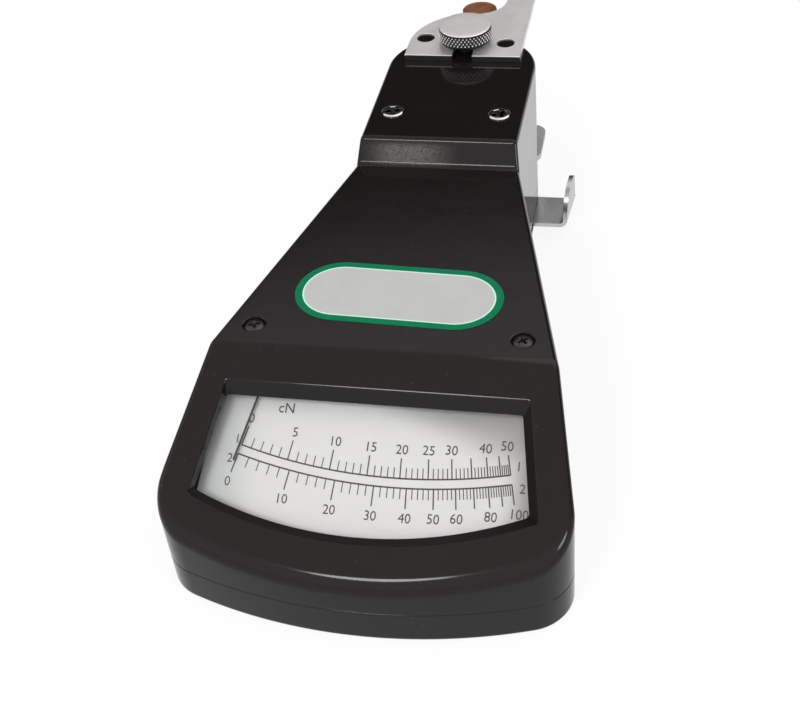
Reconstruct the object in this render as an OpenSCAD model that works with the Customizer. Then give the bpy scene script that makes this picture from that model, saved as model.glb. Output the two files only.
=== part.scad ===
// Hand-held mechanical yarn tension meter.
// Millimetres, +Z up from the flat back it lies on, +Y towards the roller head, +X to the reader's right.
// The origin is on the back face, halfway along the case.

/* [Case] */
// Length of the case from the dial end to the head end
case_len = 228.5; // [224:0.5:240]
// Width of the neck
neck_w = 53; // [52:0.25:56]
// Height of the neck panel above the back
neck_h = 62; // [61:0.25:66]
// Height of the middle panel above the back
mid_h = 54; // [53:0.25:56]
// Length of the raised neck, to the top of its ramp
neck_len = 71.1; // [69:0.1:74]
// Run of the ramp between the two panels
ramp_run = 4.7; // [3:0.1:7]
// Length of the sloping dial face in plan
dial_len = 58.5; // [57:0.25:60]
// Slope of the dial face in degrees
dial_slope = 29; // [28:0.25:30]
// Width of the case at the fold above the dial
fold_w = 101.2; // [100:0.2:106]
// Width of the case at its widest
dial_w = 119; // [117:0.5:124]
// Distance of the widest place from the dial end
widest_at = 17.25; // [15:0.25:20]
// Radius of the curved dial end
front_arc_r = 150; // [130:1:180]
// Radius of the two corners of the dial end
front_corner_r = 14; // [10:0.5:17]
// Radius of the two corners of the head end
neck_corner_r = 22; // [18:0.5:24]
// Thickness of the side walls
wall = 2.5; // [2:0.1:2.8]
// Thickness of the roof panels
roof = 2.8; // [2.4:0.1:3]
// Thickness of the back
floor_t = 3; // [2.4:0.1:3.1]
// Height of the parting line between the two shells
split_z = 11.5; // [10:0.25:13]
// Height of the locating lip above the parting line
lip_h = 2.5; // [1.5:0.25:4]

/* [Dial] */
// How much narrower each side of the window's upper edge is than the case at the fold
window_top_in = 7; // [6.5:0.05:9]
// How much narrower each side of the window is low down than the case at its widest
window_low_in = 10.7; // [10.2:0.05:12]
// Distance of the window's upper edge from the fold
window_drop = 9.95; // [9:0.25:12]
// Distance of the window's lower arc from the dial end
window_front = 10.7; // [10.2:0.1:13]
// How far the window's upper wall slopes inwards
slope_top = 0.45; // [0.2:0.05:1]
// How far the window's side walls slope inwards
slope_side = 1.4; // [0.4:0.1:2]
// How far the window's lower wall slopes inwards
slope_low = 3.7; // [1:0.1:4.5]
// Depth of the window's walls below the face, measured along Z
skirt_depth = 4; // [3.8:0.1:4.4]
// Thickness of the glass, measured along Z
glass_t = 1.7; // [1.2:0.1:2]
// Depth of the printed dial below the face, measured along Z
dial_depth = 11.2; // [11:0.1:12.5]
// Thickness of the dial plate, measured along Z
dial_t = 1.1; // [0.8:0.1:1.6]

/* [Pointer] */
// Distance of the pointer shaft from the head end
pivot_back = 34; // [33.5:0.1:34.5]
// Angle that the pointer sweeps over the scale, in degrees
sweep = 28; // [24:0.5:28]
// Distance of the needle's tip from the dial end
tip_front = 29.5; // [26:0.5:34]
// Thickness of the needle
needle_t = 0.6; // [0.4:0.05:0.7]
// Width of the needle at its tip
needle_tip_w = 0.5; // [0.4:0.05:1]
// Width of the needle at its root
needle_root_w = 2.4; // [1.6:0.1:3]
// Diameter of the pointer shaft
shaft_d = 3; // [2.5:0.1:3.4]
// Pitch radius of the toothed sector
pitch_r = 12; // [11.6:0.1:12]
// Module of the teeth
tooth_m = 0.8; // [0.7:0.05:0.85]
// Play between the teeth, across the pitch line
backlash = 0.16; // [0.12:0.01:0.24]
// Turns of the flat spiral spring
spring_turns = 4; // [3:1:5]
// Strip thickness of the spiral spring
spring_t = 0.45; // [0.3:0.05:0.6]
// Strip width of the spiral spring
spring_w = 2.4; // [1.6:0.1:3]

/* [Slide] */
// Diameter of the rod that carries the sensing roller
rod_d = 6; // [5:0.1:6.6]
// Diameter of the tail rod behind the rack
tail_d = 5; // [4:0.1:5.4]
// Height of the slide's axis above the back
rod_z = 31; // [30:0.25:32]
// Distance of the sensing roller's axis beyond the head end
roller_out = 22.75; // [21.5:0.25:23]
// Diameter of the sensing roller
roller_d = 13; // [11:0.25:14]
// Diameter of the roller axles
axle_d = 4; // [3:0.1:4.4]
// Height of all three rollers
roller_h = 12; // [10:0.25:12.5]
// Depth of the yarn groove in each roller
groove = 1.2; // [0.6:0.1:1.6]

/* [Head] */
// Thickness of the guide plate
plate_t = 2.4; // [2.3:0.1:3.2]
// Width of the guide plate
plate_w = 41.75; // [41:0.25:43]
// Distance of the plate's lower edge from the head end
plate_back = 19.8; // [19:0.1:22]
// Length of the finger beyond the head end
finger_out = 46; // [40:0.5:60]
// Radius of the clearance round the sensing roller
clear_r = 10.7; // [10.2:0.1:11.2]
// Distance of each guide roller from the middle
guide_x = 12; // [11.5:0.1:12.4]
// Distance of the guide rollers' axes beyond the head end
guide_out = 4.25; // [4:0.05:4.5]
// Diameter of the guide rollers
guide_d = 9; // [8:0.1:9.2]
// Distance of the clamp screw from the head end
screw_back = 10; // [9.6:0.1:10.6]
// Diameter of the clamp screw's knurled head
knob_d = 19.25; // [16:0.25:19.5]
// Height of the knurled head
knob_h = 5.6; // [4:0.1:7]
// Diameter of the clamp screw's thread
thread_d = 6; // [5:0.1:6.2]
// Half the distance between the locating pegs
peg_x = 14.9; // [14.5:0.05:15.2]
// Shift of both pegs to the left of the middle
peg_shift = 0.4; // [0:0.1:0.8]
// Distance of the left peg beyond the right one, towards the rollers
peg_left_up = 3; // [2:0.1:3.2]
// Diameter of the locating pegs
peg_d = 6.4; // [5:0.1:6.8]

/* [Release lever] */
// Distance of the lever's pin to the left of the middle
lever_pin_x = 16; // [15.5:0.1:16.2]
// Distance of the lever's pin from the head end
lever_back = 29.25; // [29:0.05:29.5]
// Width of the blade
lever_w = 17; // [14:0.25:17]
// Thickness of the blade
lever_t = 1.6; // [1.2:0.1:1.8]
// Reach of the blade to the right of the middle
lever_reach = 40; // [38:0.25:46]
// Height of the turned-up finger tab above the back
tab_top = 18.6; // [14:0.2:20]
// Turn of the tab from the length of the case, in degrees
tab_turn = 5; // [0:0.5:9]
// Distance of the drive post to the right of the middle
post_x = 8; // [7.6:0.1:8.6]

/* [Screws and label] */
// Distance of each neck screw from the middle
neck_screw_x = 18.35; // [18:0.05:18.5]
// Distance of the neck screws from the head end
neck_screw_back = 55.1; // [54.5:0.1:55.5]
// Diameter of the neck screws' heads
neck_screw_head = 7.6; // [6.5:0.1:8]
// Distance of each case screw from the middle
case_screw_x = 39.4; // [38.6:0.1:40]
// Distance of the case screws from the dial end
case_screw_front = 67.5; // [66.5:0.1:69]
// Length of the oval label
label_len = 62.8; // [50:0.2:70]
// Height of the oval label
label_h = 27.5; // [26:0.1:34]

/* [Clearances] */
// Radial play of a shaft in its bearing
run_fit = 0.05; // [0.02:0.01:0.09]
// Gap between pieces that pass each other
gap = 0.3; // [0.2:0.05:0.4]

/* [Hidden] */
$fn = 48;
eps = 0.01;

// Places along the case
head_y = case_len / 2;
front_y = -case_len / 2;
fold_y = front_y + dial_len;
ramp_top_y = head_y - neck_len;
ramp_low_y = ramp_top_y - ramp_run;
pivot_y = head_y - pivot_back;
knob_y = head_y - screw_back;
roller_y = head_y + roller_out;
guide_y = head_y + guide_out;
lever_y = head_y - lever_back;
neck_screw_y = head_y - neck_screw_back;
case_screw_y = front_y + case_screw_front;
neck_hw = neck_w / 2;

// Motion: the slide's travel over the whole scale, and the lever's turn with it
rest_turn = -sweep / 2;
travel = pitch_r * sweep * PI / 180;
lever_turn = travel / (lever_pin_x + post_x) * 180 / PI;

// Heights inside the case
chassis_t = 2;
chassis_z = 19;
deck_z = chassis_z + chassis_t;
ear_out = 5.75;
ear_hw = neck_hw + 0.5;
ear_r = 5;
slit_y = head_y - 18.5;
boss_x = 16.5;
boss_front_y = head_y - 13.25;
boss_rear_y = neck_screw_y - 11;
boss_d = 7;

// Slide pieces
cross_rear = head_y - 21.25;
cross_len = 6;
cross_front = cross_rear + cross_len;
cross_h = 7;
post_arm_w = 5;
post_arm_back = 3;
cross_x0 = -pitch_r - 5.5;
cross_x1 = post_x + post_arm_w / 2;
rack_w = 4;
rack_h = 5;
rack_rear = pivot_y - 7.75;
tail_x = -pitch_r - 3;
tail_rear = neck_screw_y - 10.6;
bar_x = -pitch_r - 1.25 * tooth_m - rack_w;
arm_w = 9;
arm_len = 12;
roller_z0 = neck_h - roller_h - 1;
roller_z1 = neck_h - 1;
arm_top = roller_z0 - gap;
axle_in = 8;
clip_h = 0.8;
clip_w = 1.5;
cap_t = 1;
cap_room = 0.7;
cap_d = axle_d + 2 * clip_w + 2 * cap_room;
cap_floor = roller_z1 - cap_t - clip_h - 2 * gap;

// Frames on the deck
front_frame_y = head_y - 11.25;
front_frame_len = 5.5;
front_frame_top = rod_z + 7;
front_frame_hw = 9.5;
rear_frame_len = 6.4;
rear_frame_y = neck_screw_y - rear_frame_len / 2;
rear_frame_top = rod_z + 6;
bush_wall = 1.5;
foot_hw = 12.5;
foot_h = 3;
foot_screw_x = 11;
foot_screw_d = 2;

// Pointer stack
needle_top = mid_h - roof - 5.2;
needle_gap = 1;
pillar_x = neck_hw - wall - 3.2;
pillar_d = 5;
bridge_z = needle_top + 3.5;
bridge_t = 2;
bridge_len = 8.5;
hub_d = 9;
hub_h = 3.4;
sector_t = 3;
spring_z = rod_z + 5.5;
spring_r0 = 3.6;
spring_r1 = 11.6;
stud_d = 3;
tip_r = pivot_y - (front_y + tip_front);

// Lever levels
blade_z = floor_t + 1;
post_d = 4;
post_foot = floor_t + 0.6;
lever_pin_d = 4;
lever_slot = post_d + 2 * gap;

// Case screws and pegs
case_screw_d = 3;
case_head_d = 6;
case_head_h = 1.8;
case_head_sink = 2;
column_d = 8;
neck_thread_d = 4;
neck_screw_len = 16;
neck_head_dome = 1.1;
neck_cone_h = (neck_screw_head - neck_thread_d) / 2;
insert_d = 9;
insert_len = 12;
insert_wall = 2;
washer_t = 1;
washer_d = 13;
collar_d = 12;
collar_h = 0.5;
peg_h = 2;
pegs = [[-peg_x - peg_shift, knob_y + peg_left_up], [peg_x - peg_shift, knob_y]];
label_t = 0.2;
label_x = 0.4;
label_y = (fold_y + ramp_low_y) / 2 - 21.4;
label_turn = -2;
label_r = label_h / 2 - 0.05;
lip_gap = 0.15;
lip_t = 1.5;
bridge_screw_d = 2.4;
bridge_screw_len = 8;
dial_screw_d = 1.7;
dial_screw_len = 5;
dial_screw_head = 3.6;
dial_screw_head_h = 1;
plate_over = 1.8;
plate_cut = 10;
deck_screw_head = 5.4;
deck_screw_head_h = 2.2;
deck_screw_len = 10;
frame_screw_head = 4;
frame_screw_head_h = 1.5;
frame_screw_len = 6;
bridge_screw_head = 3.8;
bridge_screw_head_h = 1.4;
weight_d = 6;
weight_h = 5;
weight_rod_d = 1.6;
weight_rod_len = 6;

// The dial face's height at a place along the case
function face_z(y) = mid_h + (y - fold_y) * tan(dial_slope);

// Points of an arc
function arc(c, r, a0, a1, n) =
    [for (i = [0 : n]) let (a = a0 + (a1 - a0) * i / n) [c.x + r * cos(a), c.y + r * sin(a)]];

function mirrored(points) = [for (i = [len(points) - 1 : -1 : 0]) [-points[i].x, points[i].y]];

// The place where two lines meet, each given by a point and a direction
function meet(p, d, q, e) =
    let (t = ((q.x - p.x) * e.y - (q.y - p.y) * e.x) / (d.x * e.y - d.y * e.x)) p + t * d;

// Plan outline of the case, moved inwards by an inset
flare_dir = let (d = [fold_w / 2 - neck_hw, fold_y - ramp_top_y]) d / norm(d);
side_dir = let (d = [(dial_w - fold_w) / 2, front_y + widest_at - fold_y]) d / norm(d);
flare_in = [flare_dir.y, -flare_dir.x];
side_in = [side_dir.y, -side_dir.x];
arc_centre = [0, front_y + front_arc_r];
corner_base = [fold_w / 2, fold_y] + front_corner_r * side_in - arc_centre;
corner_run = let (b = corner_base * side_dir)
    -b + sqrt(b * b - corner_base * corner_base + pow(front_arc_r - front_corner_r, 2));
corner = arc_centre + corner_base + corner_run * side_dir;
side_angle = atan2(-side_in.y, -side_in.x);
corner_angle = atan2(corner.y - arc_centre.y, corner.x - arc_centre.x);
neck_corner = [neck_hw - neck_corner_r, head_y - neck_corner_r];

function case_right(inset) = concat(
    arc(neck_corner, neck_corner_r - inset, 90, 0, 14),
    [meet([neck_hw - inset, 0], [0, 1], [neck_hw, ramp_top_y] + inset * flare_in, flare_dir)],
    [meet([fold_w / 2, fold_y] + inset * flare_in, flare_dir,
          [fold_w / 2, fold_y] + inset * side_in, side_dir)],
    arc(corner, front_corner_r - inset, side_angle, corner_angle, 10),
    [for (p = arc(arc_centre, front_arc_r - inset, corner_angle, -90, 10)) if (p.x > eps) p]);

function case_outline(inset) = concat(case_right(inset), mirrored(case_right(inset)));

module case_prism(inset, z0, z1) {
    translate([0, 0, z0]) linear_extrude(z1 - z0) polygon(case_outline(inset));
}

// A block bounded above by a side profile, given as points of Y and Z
module profile_block(points, half_width) {
    rotate([90, 0, 90]) linear_extrude(2 * half_width, center = true) polygon(points);
}

// Everything below the case's roof, with the roof shifted along Y and Z
module under_roof(dy, dz) {
    y0 = front_y - 10;
    y1 = head_y + 10;
    translate([0, dy, dz]) profile_block(
        [[y0, -10], [y1, -10], [y1, neck_h], [ramp_top_y, neck_h], [ramp_low_y, mid_h],
         [fold_y, mid_h], [y0, face_z(y0)]], dial_w);
}

// A sheet parallel to the dial face, between two depths below it
module face_sheet(depth0, depth1, y0, y1) {
    profile_block([[y0, face_z(y0) - depth0], [y1, face_z(y1) - depth0],
                   [y1, face_z(y1) - depth1], [y0, face_z(y0) - depth1]], dial_w);
}

// Window outline in plan, with its edges moved outwards; its lower edge runs parallel to the dial end
window_top_w = fold_w - 2 * window_top_in;
window_low_w = dial_w - 2 * window_low_in;
window_top = fold_y - window_drop;
window_r = front_arc_r - window_front;
window_low = arc_centre.y - sqrt(pow(window_r, 2) - pow(window_low_w / 2, 2));
skirt_w = 2;
glass_over = 1.4;

module window_prism(top, side, low) {
    dir = let (d = [window_low_w - window_top_w, 2 * (window_low - window_top)]) d / norm(d);
    start = [window_top_w / 2, window_top] + side * [-dir.y, dir.x];
    a = meet([0, window_top + top], [1, 0], start, dir);
    b = meet([0, window_low - 8], [1, 0], start, dir);
    intersection() {
        linear_extrude(neck_h) polygon([a, b, [-b.x, b.y], [-a.x, a.y]]);
        translate([0, arc_centre.y, 0]) linear_extrude(neck_h)
            polygon(concat([[0, 0]], arc([0, 0], window_r + low, -120, -60, 36)));
    }
}

// A sheet of the window's own outline, between two depths below the face
module window_sheet(depth0, depth1, out) {
    intersection() {
        window_prism(out.x, out.y, out.z);
        face_sheet(depth0, depth1, front_y, fold_y);
    }
}

// The opening with its sloping walls
module window_opening() {
    drawn_in = -[slope_top, slope_side, slope_low];
    window_sheet(-roof, eps, [0, 0, 0]);
    hull() {
        window_sheet(0, eps, [0, 0, 0]);
        window_sheet(skirt_depth, skirt_depth + eps, drawn_in);
    }
}

// Screw pieces. The head's flat lies at the origin and the thread points down
module cross_slot(size, depth) {
    for (a = [45, 135]) rotate(a) translate([-size / 2, -size / 8, -depth])
        cube([size, size / 4, depth + size]);
}

module pan_screw(d, head_d, head_h, length) {
    difference() {
        union() {
            cylinder(d = head_d, h = head_h);
            translate([0, 0, -length]) cylinder(d = d, h = length + eps);
        }
        translate([0, 0, head_h]) cross_slot(head_d * 0.6, head_h * 0.6);
    }
}

module dome_screw(d, head_d, cone_h, dome_h, length) {
    difference() {
        rotate_extrude() polygon(concat(
            [[0, -length], [d / 2, -length], [d / 2, -cone_h], [head_d / 2, 0]],
            [for (a = [15 : 15 : 75]) [head_d / 2 * cos(a), dome_h * sin(a)]], [[0, dome_h]]));
        translate([0, 0, dome_h]) cross_slot(head_d * 0.6, dome_h + 0.8);
    }
}

module ring(d_out, d_in, h) {
    difference() {
        cylinder(d = d_out, h = h);
        translate([0, 0, -1]) cylinder(d = d_in, h = h + 2);
    }
}

module along_y(x, y, z) {
    translate([x, y, z]) rotate([-90, 0, 0]) children();
}

module both_sides() {
    children();
    mirror([1, 0, 0]) children();
}

// Grooved roller standing on the origin, with a running bore
module grooved_roller(d, bore) {
    lip = roller_h * 0.16;
    rotate_extrude() polygon([
        [bore / 2, 0], [d / 2 - 0.5, 0], [d / 2, 0.5], [d / 2, lip],
        [d / 2 - groove, roller_h / 2 - 0.8], [d / 2 - groove, roller_h / 2 + 0.8],
        [d / 2, roller_h - lip], [d / 2, roller_h - 0.5], [d / 2 - 0.5, roller_h], [bore / 2, roller_h]]);
}

// Upper shell: dial face, middle panel, ramp and neck in one moulding
module upper_case() {
    color("#191514") difference() {
        union() {
            difference() {
                intersection() {
                    case_prism(0, split_z, neck_h + 1);
                    under_roof(0, 0);
                }
                intersection() {
                    case_prism(wall, split_z - 1, neck_h + 1);
                    under_roof(ramp_run / 4, -roof);
                }
            }
            window_sheet(roof / 2, skirt_depth, skirt_w * [1, 1, 1]);
            translate([0, knob_y, neck_h - insert_len - insert_wall])
                cylinder(d = insert_d + 2 * insert_wall, h = insert_len + insert_wall - eps);
            for (p = pegs) translate([p.x, p.y, neck_h - eps]) cylinder(d = peg_d, h = peg_h + eps);
        }
        window_opening();
        translate([0, knob_y, neck_h - insert_len]) cylinder(d = insert_d, h = insert_len + 1);
        both_sides() {
            translate([neck_screw_x, neck_screw_y, neck_h]) {
                translate([0, 0, -2 * roof]) cylinder(d = neck_thread_d, h = 3 * roof);
                translate([0, 0, -neck_cone_h])
                    cylinder(d1 = neck_thread_d, d2 = neck_screw_head, h = neck_cone_h);
                cylinder(d = neck_screw_head, h = 1);
            }
            translate([case_screw_x, case_screw_y, mid_h]) {
                translate([0, 0, -2 * roof]) cylinder(d = case_screw_d, h = 3 * roof);
                translate([0, 0, -case_head_sink]) cylinder(d = case_head_d + gap, h = case_head_sink + 1);
            }
        }
        along_y(0, head_y - 2 * wall, rod_z) cylinder(d = rod_d + 4 * gap, h = 3 * wall);
        translate([-2 * ear_hw, slit_y - gap, chassis_z]) cube([4 * ear_hw, neck_w, chassis_t]);
    }
}

// Lower shell: the back, its rim and the columns and bosses that carry everything
module lower_case() {
    color("#171413") difference() {
        union() {
            difference() {
                union() {
                    case_prism(0, 0, split_z);
                    case_prism(wall + lip_gap, floor_t, split_z + lip_h);
                }
                case_prism(wall + lip_t, floor_t, split_z + lip_h + 1);
            }
            both_sides() {
                translate([case_screw_x, case_screw_y, floor_t - eps])
                    cylinder(d = column_d, h = mid_h - roof - floor_t + eps);
                for (y = [boss_front_y, boss_rear_y]) translate([boss_x, y, floor_t - eps])
                    cylinder(d = boss_d, h = chassis_z - floor_t + eps);
                intersection() {
                    for (p = dial_posts) translate([p.x, p.y, floor_t - eps])
                        cylinder(d = dial_post_d, h = mid_h);
                    profile_block([[front_y, 0], [fold_y, 0], [fold_y, mid_h - dial_depth - dial_t],
                                   [front_y, face_z(front_y) - dial_depth - dial_t]], dial_w);
                }
            }
            translate([-lever_pin_x, lever_y, floor_t - eps])
                cylinder(d = 2 * lever_pin_d, h = blade_z - floor_t - gap / 3 + eps);
        }
        both_sides() {
            translate([case_screw_x, case_screw_y, mid_h - case_head_sink - case_screw_len - 1])
                cylinder(d = case_screw_d, h = case_screw_len + 2);
            for (y = [boss_front_y, boss_rear_y])
                translate([boss_x, y, deck_z - deck_screw_len - 1])
                    cylinder(d = case_screw_d, h = deck_screw_len);
            dial_screw_hole();
        }
        translate([-lever_pin_x, lever_y, 1]) cylinder(d = lever_pin_d, h = 10);
        translate([0, lever_slot_low, blade_z - 2 * gap])
            cube([neck_w, lever_slot_high - lever_slot_low, lever_t + 4 * gap]);
    }
}

// The lever's way through the right wall, over its whole turn
lever_arm = neck_hw + lever_pin_x;
lever_slot_low = lever_y - lever_arm * tan(lever_turn) - lever_w / 2 / cos(lever_turn) - 2 * gap;
lever_slot_high = lever_y + lever_w / 2 + gap;
case_screw_len = 14;
dial_post_d = 6;
dial_posts = [[window_top_w / 2, fold_y - 4.3], [window_low_w / 2 - 12.7, front_y + 13]];

// Pane of glass seated on the underside of the window's walls
module dial_glass() {
    color("#dfe8e6", 0.4) window_sheet(skirt_depth, skirt_depth + glass_t, glass_over * [1, 1, 1]);
}

// Printed scale plate
module dial_plate() {
    hw_top = fold_w / 2 - wall - 2 * gap;
    hw_low = window_low_w / 2 + plate_over;
    y_top = fold_y - 2.25;
    y_low = front_y + 9.25;
    color("#e9ebe8") difference() {
        intersection() {
            linear_extrude(mid_h) polygon([[-hw_top, y_top], [hw_top, y_top],
                [hw_low, y_low + plate_cut / 2], [hw_low - plate_cut, y_low],
                [plate_cut - hw_low, y_low], [-hw_low, y_low + plate_cut / 2]]);
            face_sheet(dial_depth, dial_depth + dial_t, front_y, fold_y);
        }
        both_sides() dial_screw_hole();
    }
}

// Screws that hold the scale plate to its upper posts, square to the plate
module at_dial_screw() {
    translate([dial_posts[0].x, dial_posts[0].y, face_z(dial_posts[0].y) - dial_depth])
        rotate([dial_slope, 0, 0]) children();
}

module dial_screw_hole() {
    at_dial_screw() translate([0, 0, -dial_screw_len - 0.5])
        cylinder(d = dial_screw_d, h = dial_screw_len + 3);
}

module dial_screws() {
    color("#b9b4a8") both_sides() at_dial_screw()
        pan_screw(dial_screw_d, dial_screw_head, dial_screw_head_h, dial_screw_len);
}

// Oval label on the middle panel
module label() {
    color("#1f9a63") translate([label_x, label_y, mid_h]) rotate(label_turn) linear_extrude(label_t)
        polygon([for (s = [[1, 1, 0], [-1, 1, 90], [-1, -1, 180], [1, -1, 270]])
            each arc([s.x * (label_len / 2 - label_r), s.y * (label_h / 2 - label_r)],
                     label_r, s.z, s.z + 90, 12)]);
}

// Raised countersunk screws in the neck panel
module neck_screws() {
    color("#cfcfcc") both_sides() translate([neck_screw_x, neck_screw_y, neck_h])
        dome_screw(neck_thread_d, neck_screw_head, neck_cone_h, neck_head_dome, neck_screw_len);
}

// Sunk screws in the middle panel
module case_screws() {
    color("#2b2a29") both_sides() translate([case_screw_x, case_screw_y, mid_h - case_head_sink])
        pan_screw(case_screw_d, case_head_d, case_head_h, case_screw_len);
}

// Deck that carries the mechanism; its end stands out below the rollers
module chassis_plate() {
    rear = boss_rear_y - 5;
    hw = neck_hw - wall - 1;
    color("#b4b6b8") difference() {
        translate([0, 0, chassis_z]) linear_extrude(chassis_t) polygon(concat(
            [[hw, rear], [hw, slit_y], [neck_hw - wall / 2, slit_y], [ear_hw, slit_y + 4]],
            arc([ear_hw - ear_r, head_y + ear_out - ear_r], ear_r, 0, 90, 8),
            arc([ear_r - ear_hw, head_y + ear_out - ear_r], ear_r, 90, 180, 8),
            [[-ear_hw, slit_y + 4], [wall / 2 - neck_hw, slit_y], [-hw, slit_y], [-hw, rear]]));
        translate([0, pivot_y, 0]) cylinder(d = shaft_d + 2 * bush_wall + 1, h = deck_z + 1);
        translate([post_x - post_d / 2 - 2 * gap, lever_y - travel - post_d / 2 - 2 * gap, 0])
            cube([post_d + 4 * gap, travel + post_d + 4 * gap, deck_z + 1]);
        both_sides() {
            for (y = [boss_front_y, boss_rear_y])
                translate([boss_x, y, 0]) cylinder(d = case_screw_d, h = deck_z + 1);
            for (y = [front_frame_mid, rear_frame_mid])
                translate([foot_screw_x, y, 0]) cylinder(d = foot_screw_d, h = deck_z + 1);
        }
    }
}

front_frame_mid = front_frame_y + front_frame_len / 2;
rear_frame_mid = rear_frame_y + rear_frame_len / 2;

// Screws that hold the deck to its bosses
module chassis_screws() {
    color("#8f8f8c") both_sides() for (y = [boss_front_y, boss_rear_y]) translate([boss_x, y, deck_z])
        pan_screw(case_screw_d, deck_screw_head, deck_screw_head_h, deck_screw_len);
}

// Bearing block for the slide's front rod
module front_frame() {
    color("#9fa2a4") difference() {
        union() {
            translate([-front_frame_hw, front_frame_y, deck_z])
                cube([2 * front_frame_hw, front_frame_len, front_frame_top - deck_z]);
            translate([-foot_hw, front_frame_y, deck_z]) cube([2 * foot_hw, front_frame_len, foot_h]);
        }
        along_y(0, front_frame_y - 1, rod_z) cylinder(d = rod_d + 2 * bush_wall, h = front_frame_len + 2);
        both_sides() translate([foot_screw_x, front_frame_mid, 0])
            cylinder(d = foot_screw_d, h = front_frame_top + 1);
    }
}

// Bearing block for the tail rod, with the two posts that the neck screws bite into
module rear_frame() {
    hw = neck_hw - wall - 1.2;
    color("#9fa2a4") difference() {
        union() {
            translate([-hw, rear_frame_y, deck_z]) cube([2 * hw, rear_frame_len, rear_frame_top - deck_z]);
            both_sides() translate([neck_screw_x, neck_screw_y, deck_z])
                cylinder(d = rear_frame_len, h = neck_h - roof - deck_z);
        }
        along_y(tail_x, rear_frame_y - 1, rod_z)
            cylinder(d = tail_d + 2 * bush_wall, h = rear_frame_len + 2);
        translate([-foot_screw_x + 4, rear_frame_y - 1, rear_frame_top - 7])
            cube([2 * foot_screw_x, rear_frame_len + 2, 10]);
        both_sides() {
            translate([foot_screw_x, rear_frame_mid, 0]) cylinder(d = foot_screw_d, h = deck_z + 6);
            translate([neck_screw_x, neck_screw_y, neck_h - neck_screw_len - 1])
                cylinder(d = neck_thread_d, h = neck_screw_len + 1);
        }
    }
}

// Screws from below the deck into the two bearing blocks
module frame_screws() {
    color("#8f8f8c") both_sides() for (y = [front_frame_mid, rear_frame_mid])
        translate([foot_screw_x, y, chassis_z]) rotate([180, 0, 0])
            pan_screw(foot_screw_d, frame_screw_head, frame_screw_head_h, frame_screw_len);
}

// Flanged bronze bush along Y: its flange is at its start
module slide_bush(d, length) {
    difference() {
        union() {
            cylinder(d = d + 2 * bush_wall, h = length);
            cylinder(d = d + 2 * bush_wall + 2, h = 1);
        }
        translate([0, 0, -1]) cylinder(d = d + 2 * run_fit, h = length + 2);
    }
}

module front_bush() {
    color("#b98a4a") along_y(0, front_frame_y - 1, rod_z) slide_bush(rod_d, front_frame_len + 2);
}

module rear_bush() {
    color("#b98a4a") along_y(tail_x, rear_frame_y - 1, rod_z) slide_bush(tail_d, rear_frame_len + 2);
}

// Rubber ring that the slide comes to rest on
module stop_buffer() {
    color("#2a2a2a") along_y(0, cross_front, rod_z)
        ring(rod_d + 4, rod_d + 2 * gap, front_frame_y - 1 - cross_front);
}

// Felt ring that keeps fibre dust out of the case
module dust_felt() {
    color("#d8d2bf") along_y(0, front_frame_y + front_frame_len + 1, rod_z)
        ring(rod_d + 5, rod_d + 2 * gap, head_y - wall - front_frame_y - front_frame_len - 1.1);
}

// Bridge over the pointer, on two pillars
module bridge_pillars() {
    color("#c9a35a") both_sides() translate([pillar_x, pivot_y, deck_z]) difference() {
        cylinder(d = pillar_d, h = bridge_z - deck_z);
        translate([0, 0, bridge_z - deck_z - bridge_screw_len])
            cylinder(d = bridge_screw_d, h = bridge_screw_len + 1);
    }
}

module bridge_plate() {
    hw = pillar_x + pillar_d / 2;
    color("#c2a468") difference() {
        translate([-hw, pivot_y - bridge_len / 2, bridge_z]) cube([2 * hw, bridge_len, bridge_t]);
        translate([0, pivot_y, bridge_z - 1]) cylinder(d = shaft_d + 2 * bush_wall, h = bridge_t + 2);
        both_sides() translate([pillar_x, pivot_y, bridge_z - 1])
            cylinder(d = bridge_screw_d, h = bridge_t + 2);
    }
}

module bridge_screws() {
    color("#8f8f8c") both_sides() translate([pillar_x, pivot_y, bridge_z + bridge_t])
        pan_screw(bridge_screw_d, bridge_screw_head, bridge_screw_head_h, bridge_screw_len);
}

// Pointer bearings
module upper_bush() {
    color("#b98a4a") translate([0, pivot_y, bridge_z])
        ring(shaft_d + 2 * bush_wall, shaft_d + 2 * run_fit, bridge_t + 0.6);
}

module lower_bush() {
    color("#b98a4a") translate([0, pivot_y, chassis_z])
        ring(shaft_d + 2 * bush_wall + 1, shaft_d + 2 * run_fit, chassis_t + 2.5);
}

// Flat spiral spring, wound by formula from its collet to its stud
spiral_steps = 24 * spring_turns;
function spiral(out) = [for (i = [0 : spiral_steps]) let (t = i / spiral_steps,
    r = spring_r0 + (spring_r1 - spring_r0) * t + out, a = 360 * spring_turns * t) [r * cos(a), r * sin(a)]];
spiral_pitch = (spring_r1 - spring_r0) / spring_turns;
echo(str("least gap between the spiral spring's turns: ", spiral_pitch - spring_t, " mm"));

module spiral_spring() {
    outer = spiral(spring_t);
    inner = spiral(0);
    color("#5f7fa6") translate([0, pivot_y, spring_z]) linear_extrude(spring_w)
        polygon(concat(outer, [for (i = [spiral_steps : -1 : 0]) inner[i]]));
}

module spring_stud() {
    color("#c9a35a") translate([spring_r1 + spring_t + stud_d / 2, pivot_y, spring_z])
        cylinder(d = stud_d, h = bridge_z - spring_z);
}

module spring_collet() {
    color("#c9a35a") translate([0, pivot_y, spring_z]) ring(2 * spring_r0, shaft_d, spring_w);
}

// Pointer shaft with its toothed sector
module pointer_shaft() {
    color("#c4c6c8") translate([0, pivot_y, chassis_z - 1])
        cylinder(d = shaft_d, h = bridge_z + bridge_t - chassis_z + 1);
}

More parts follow.
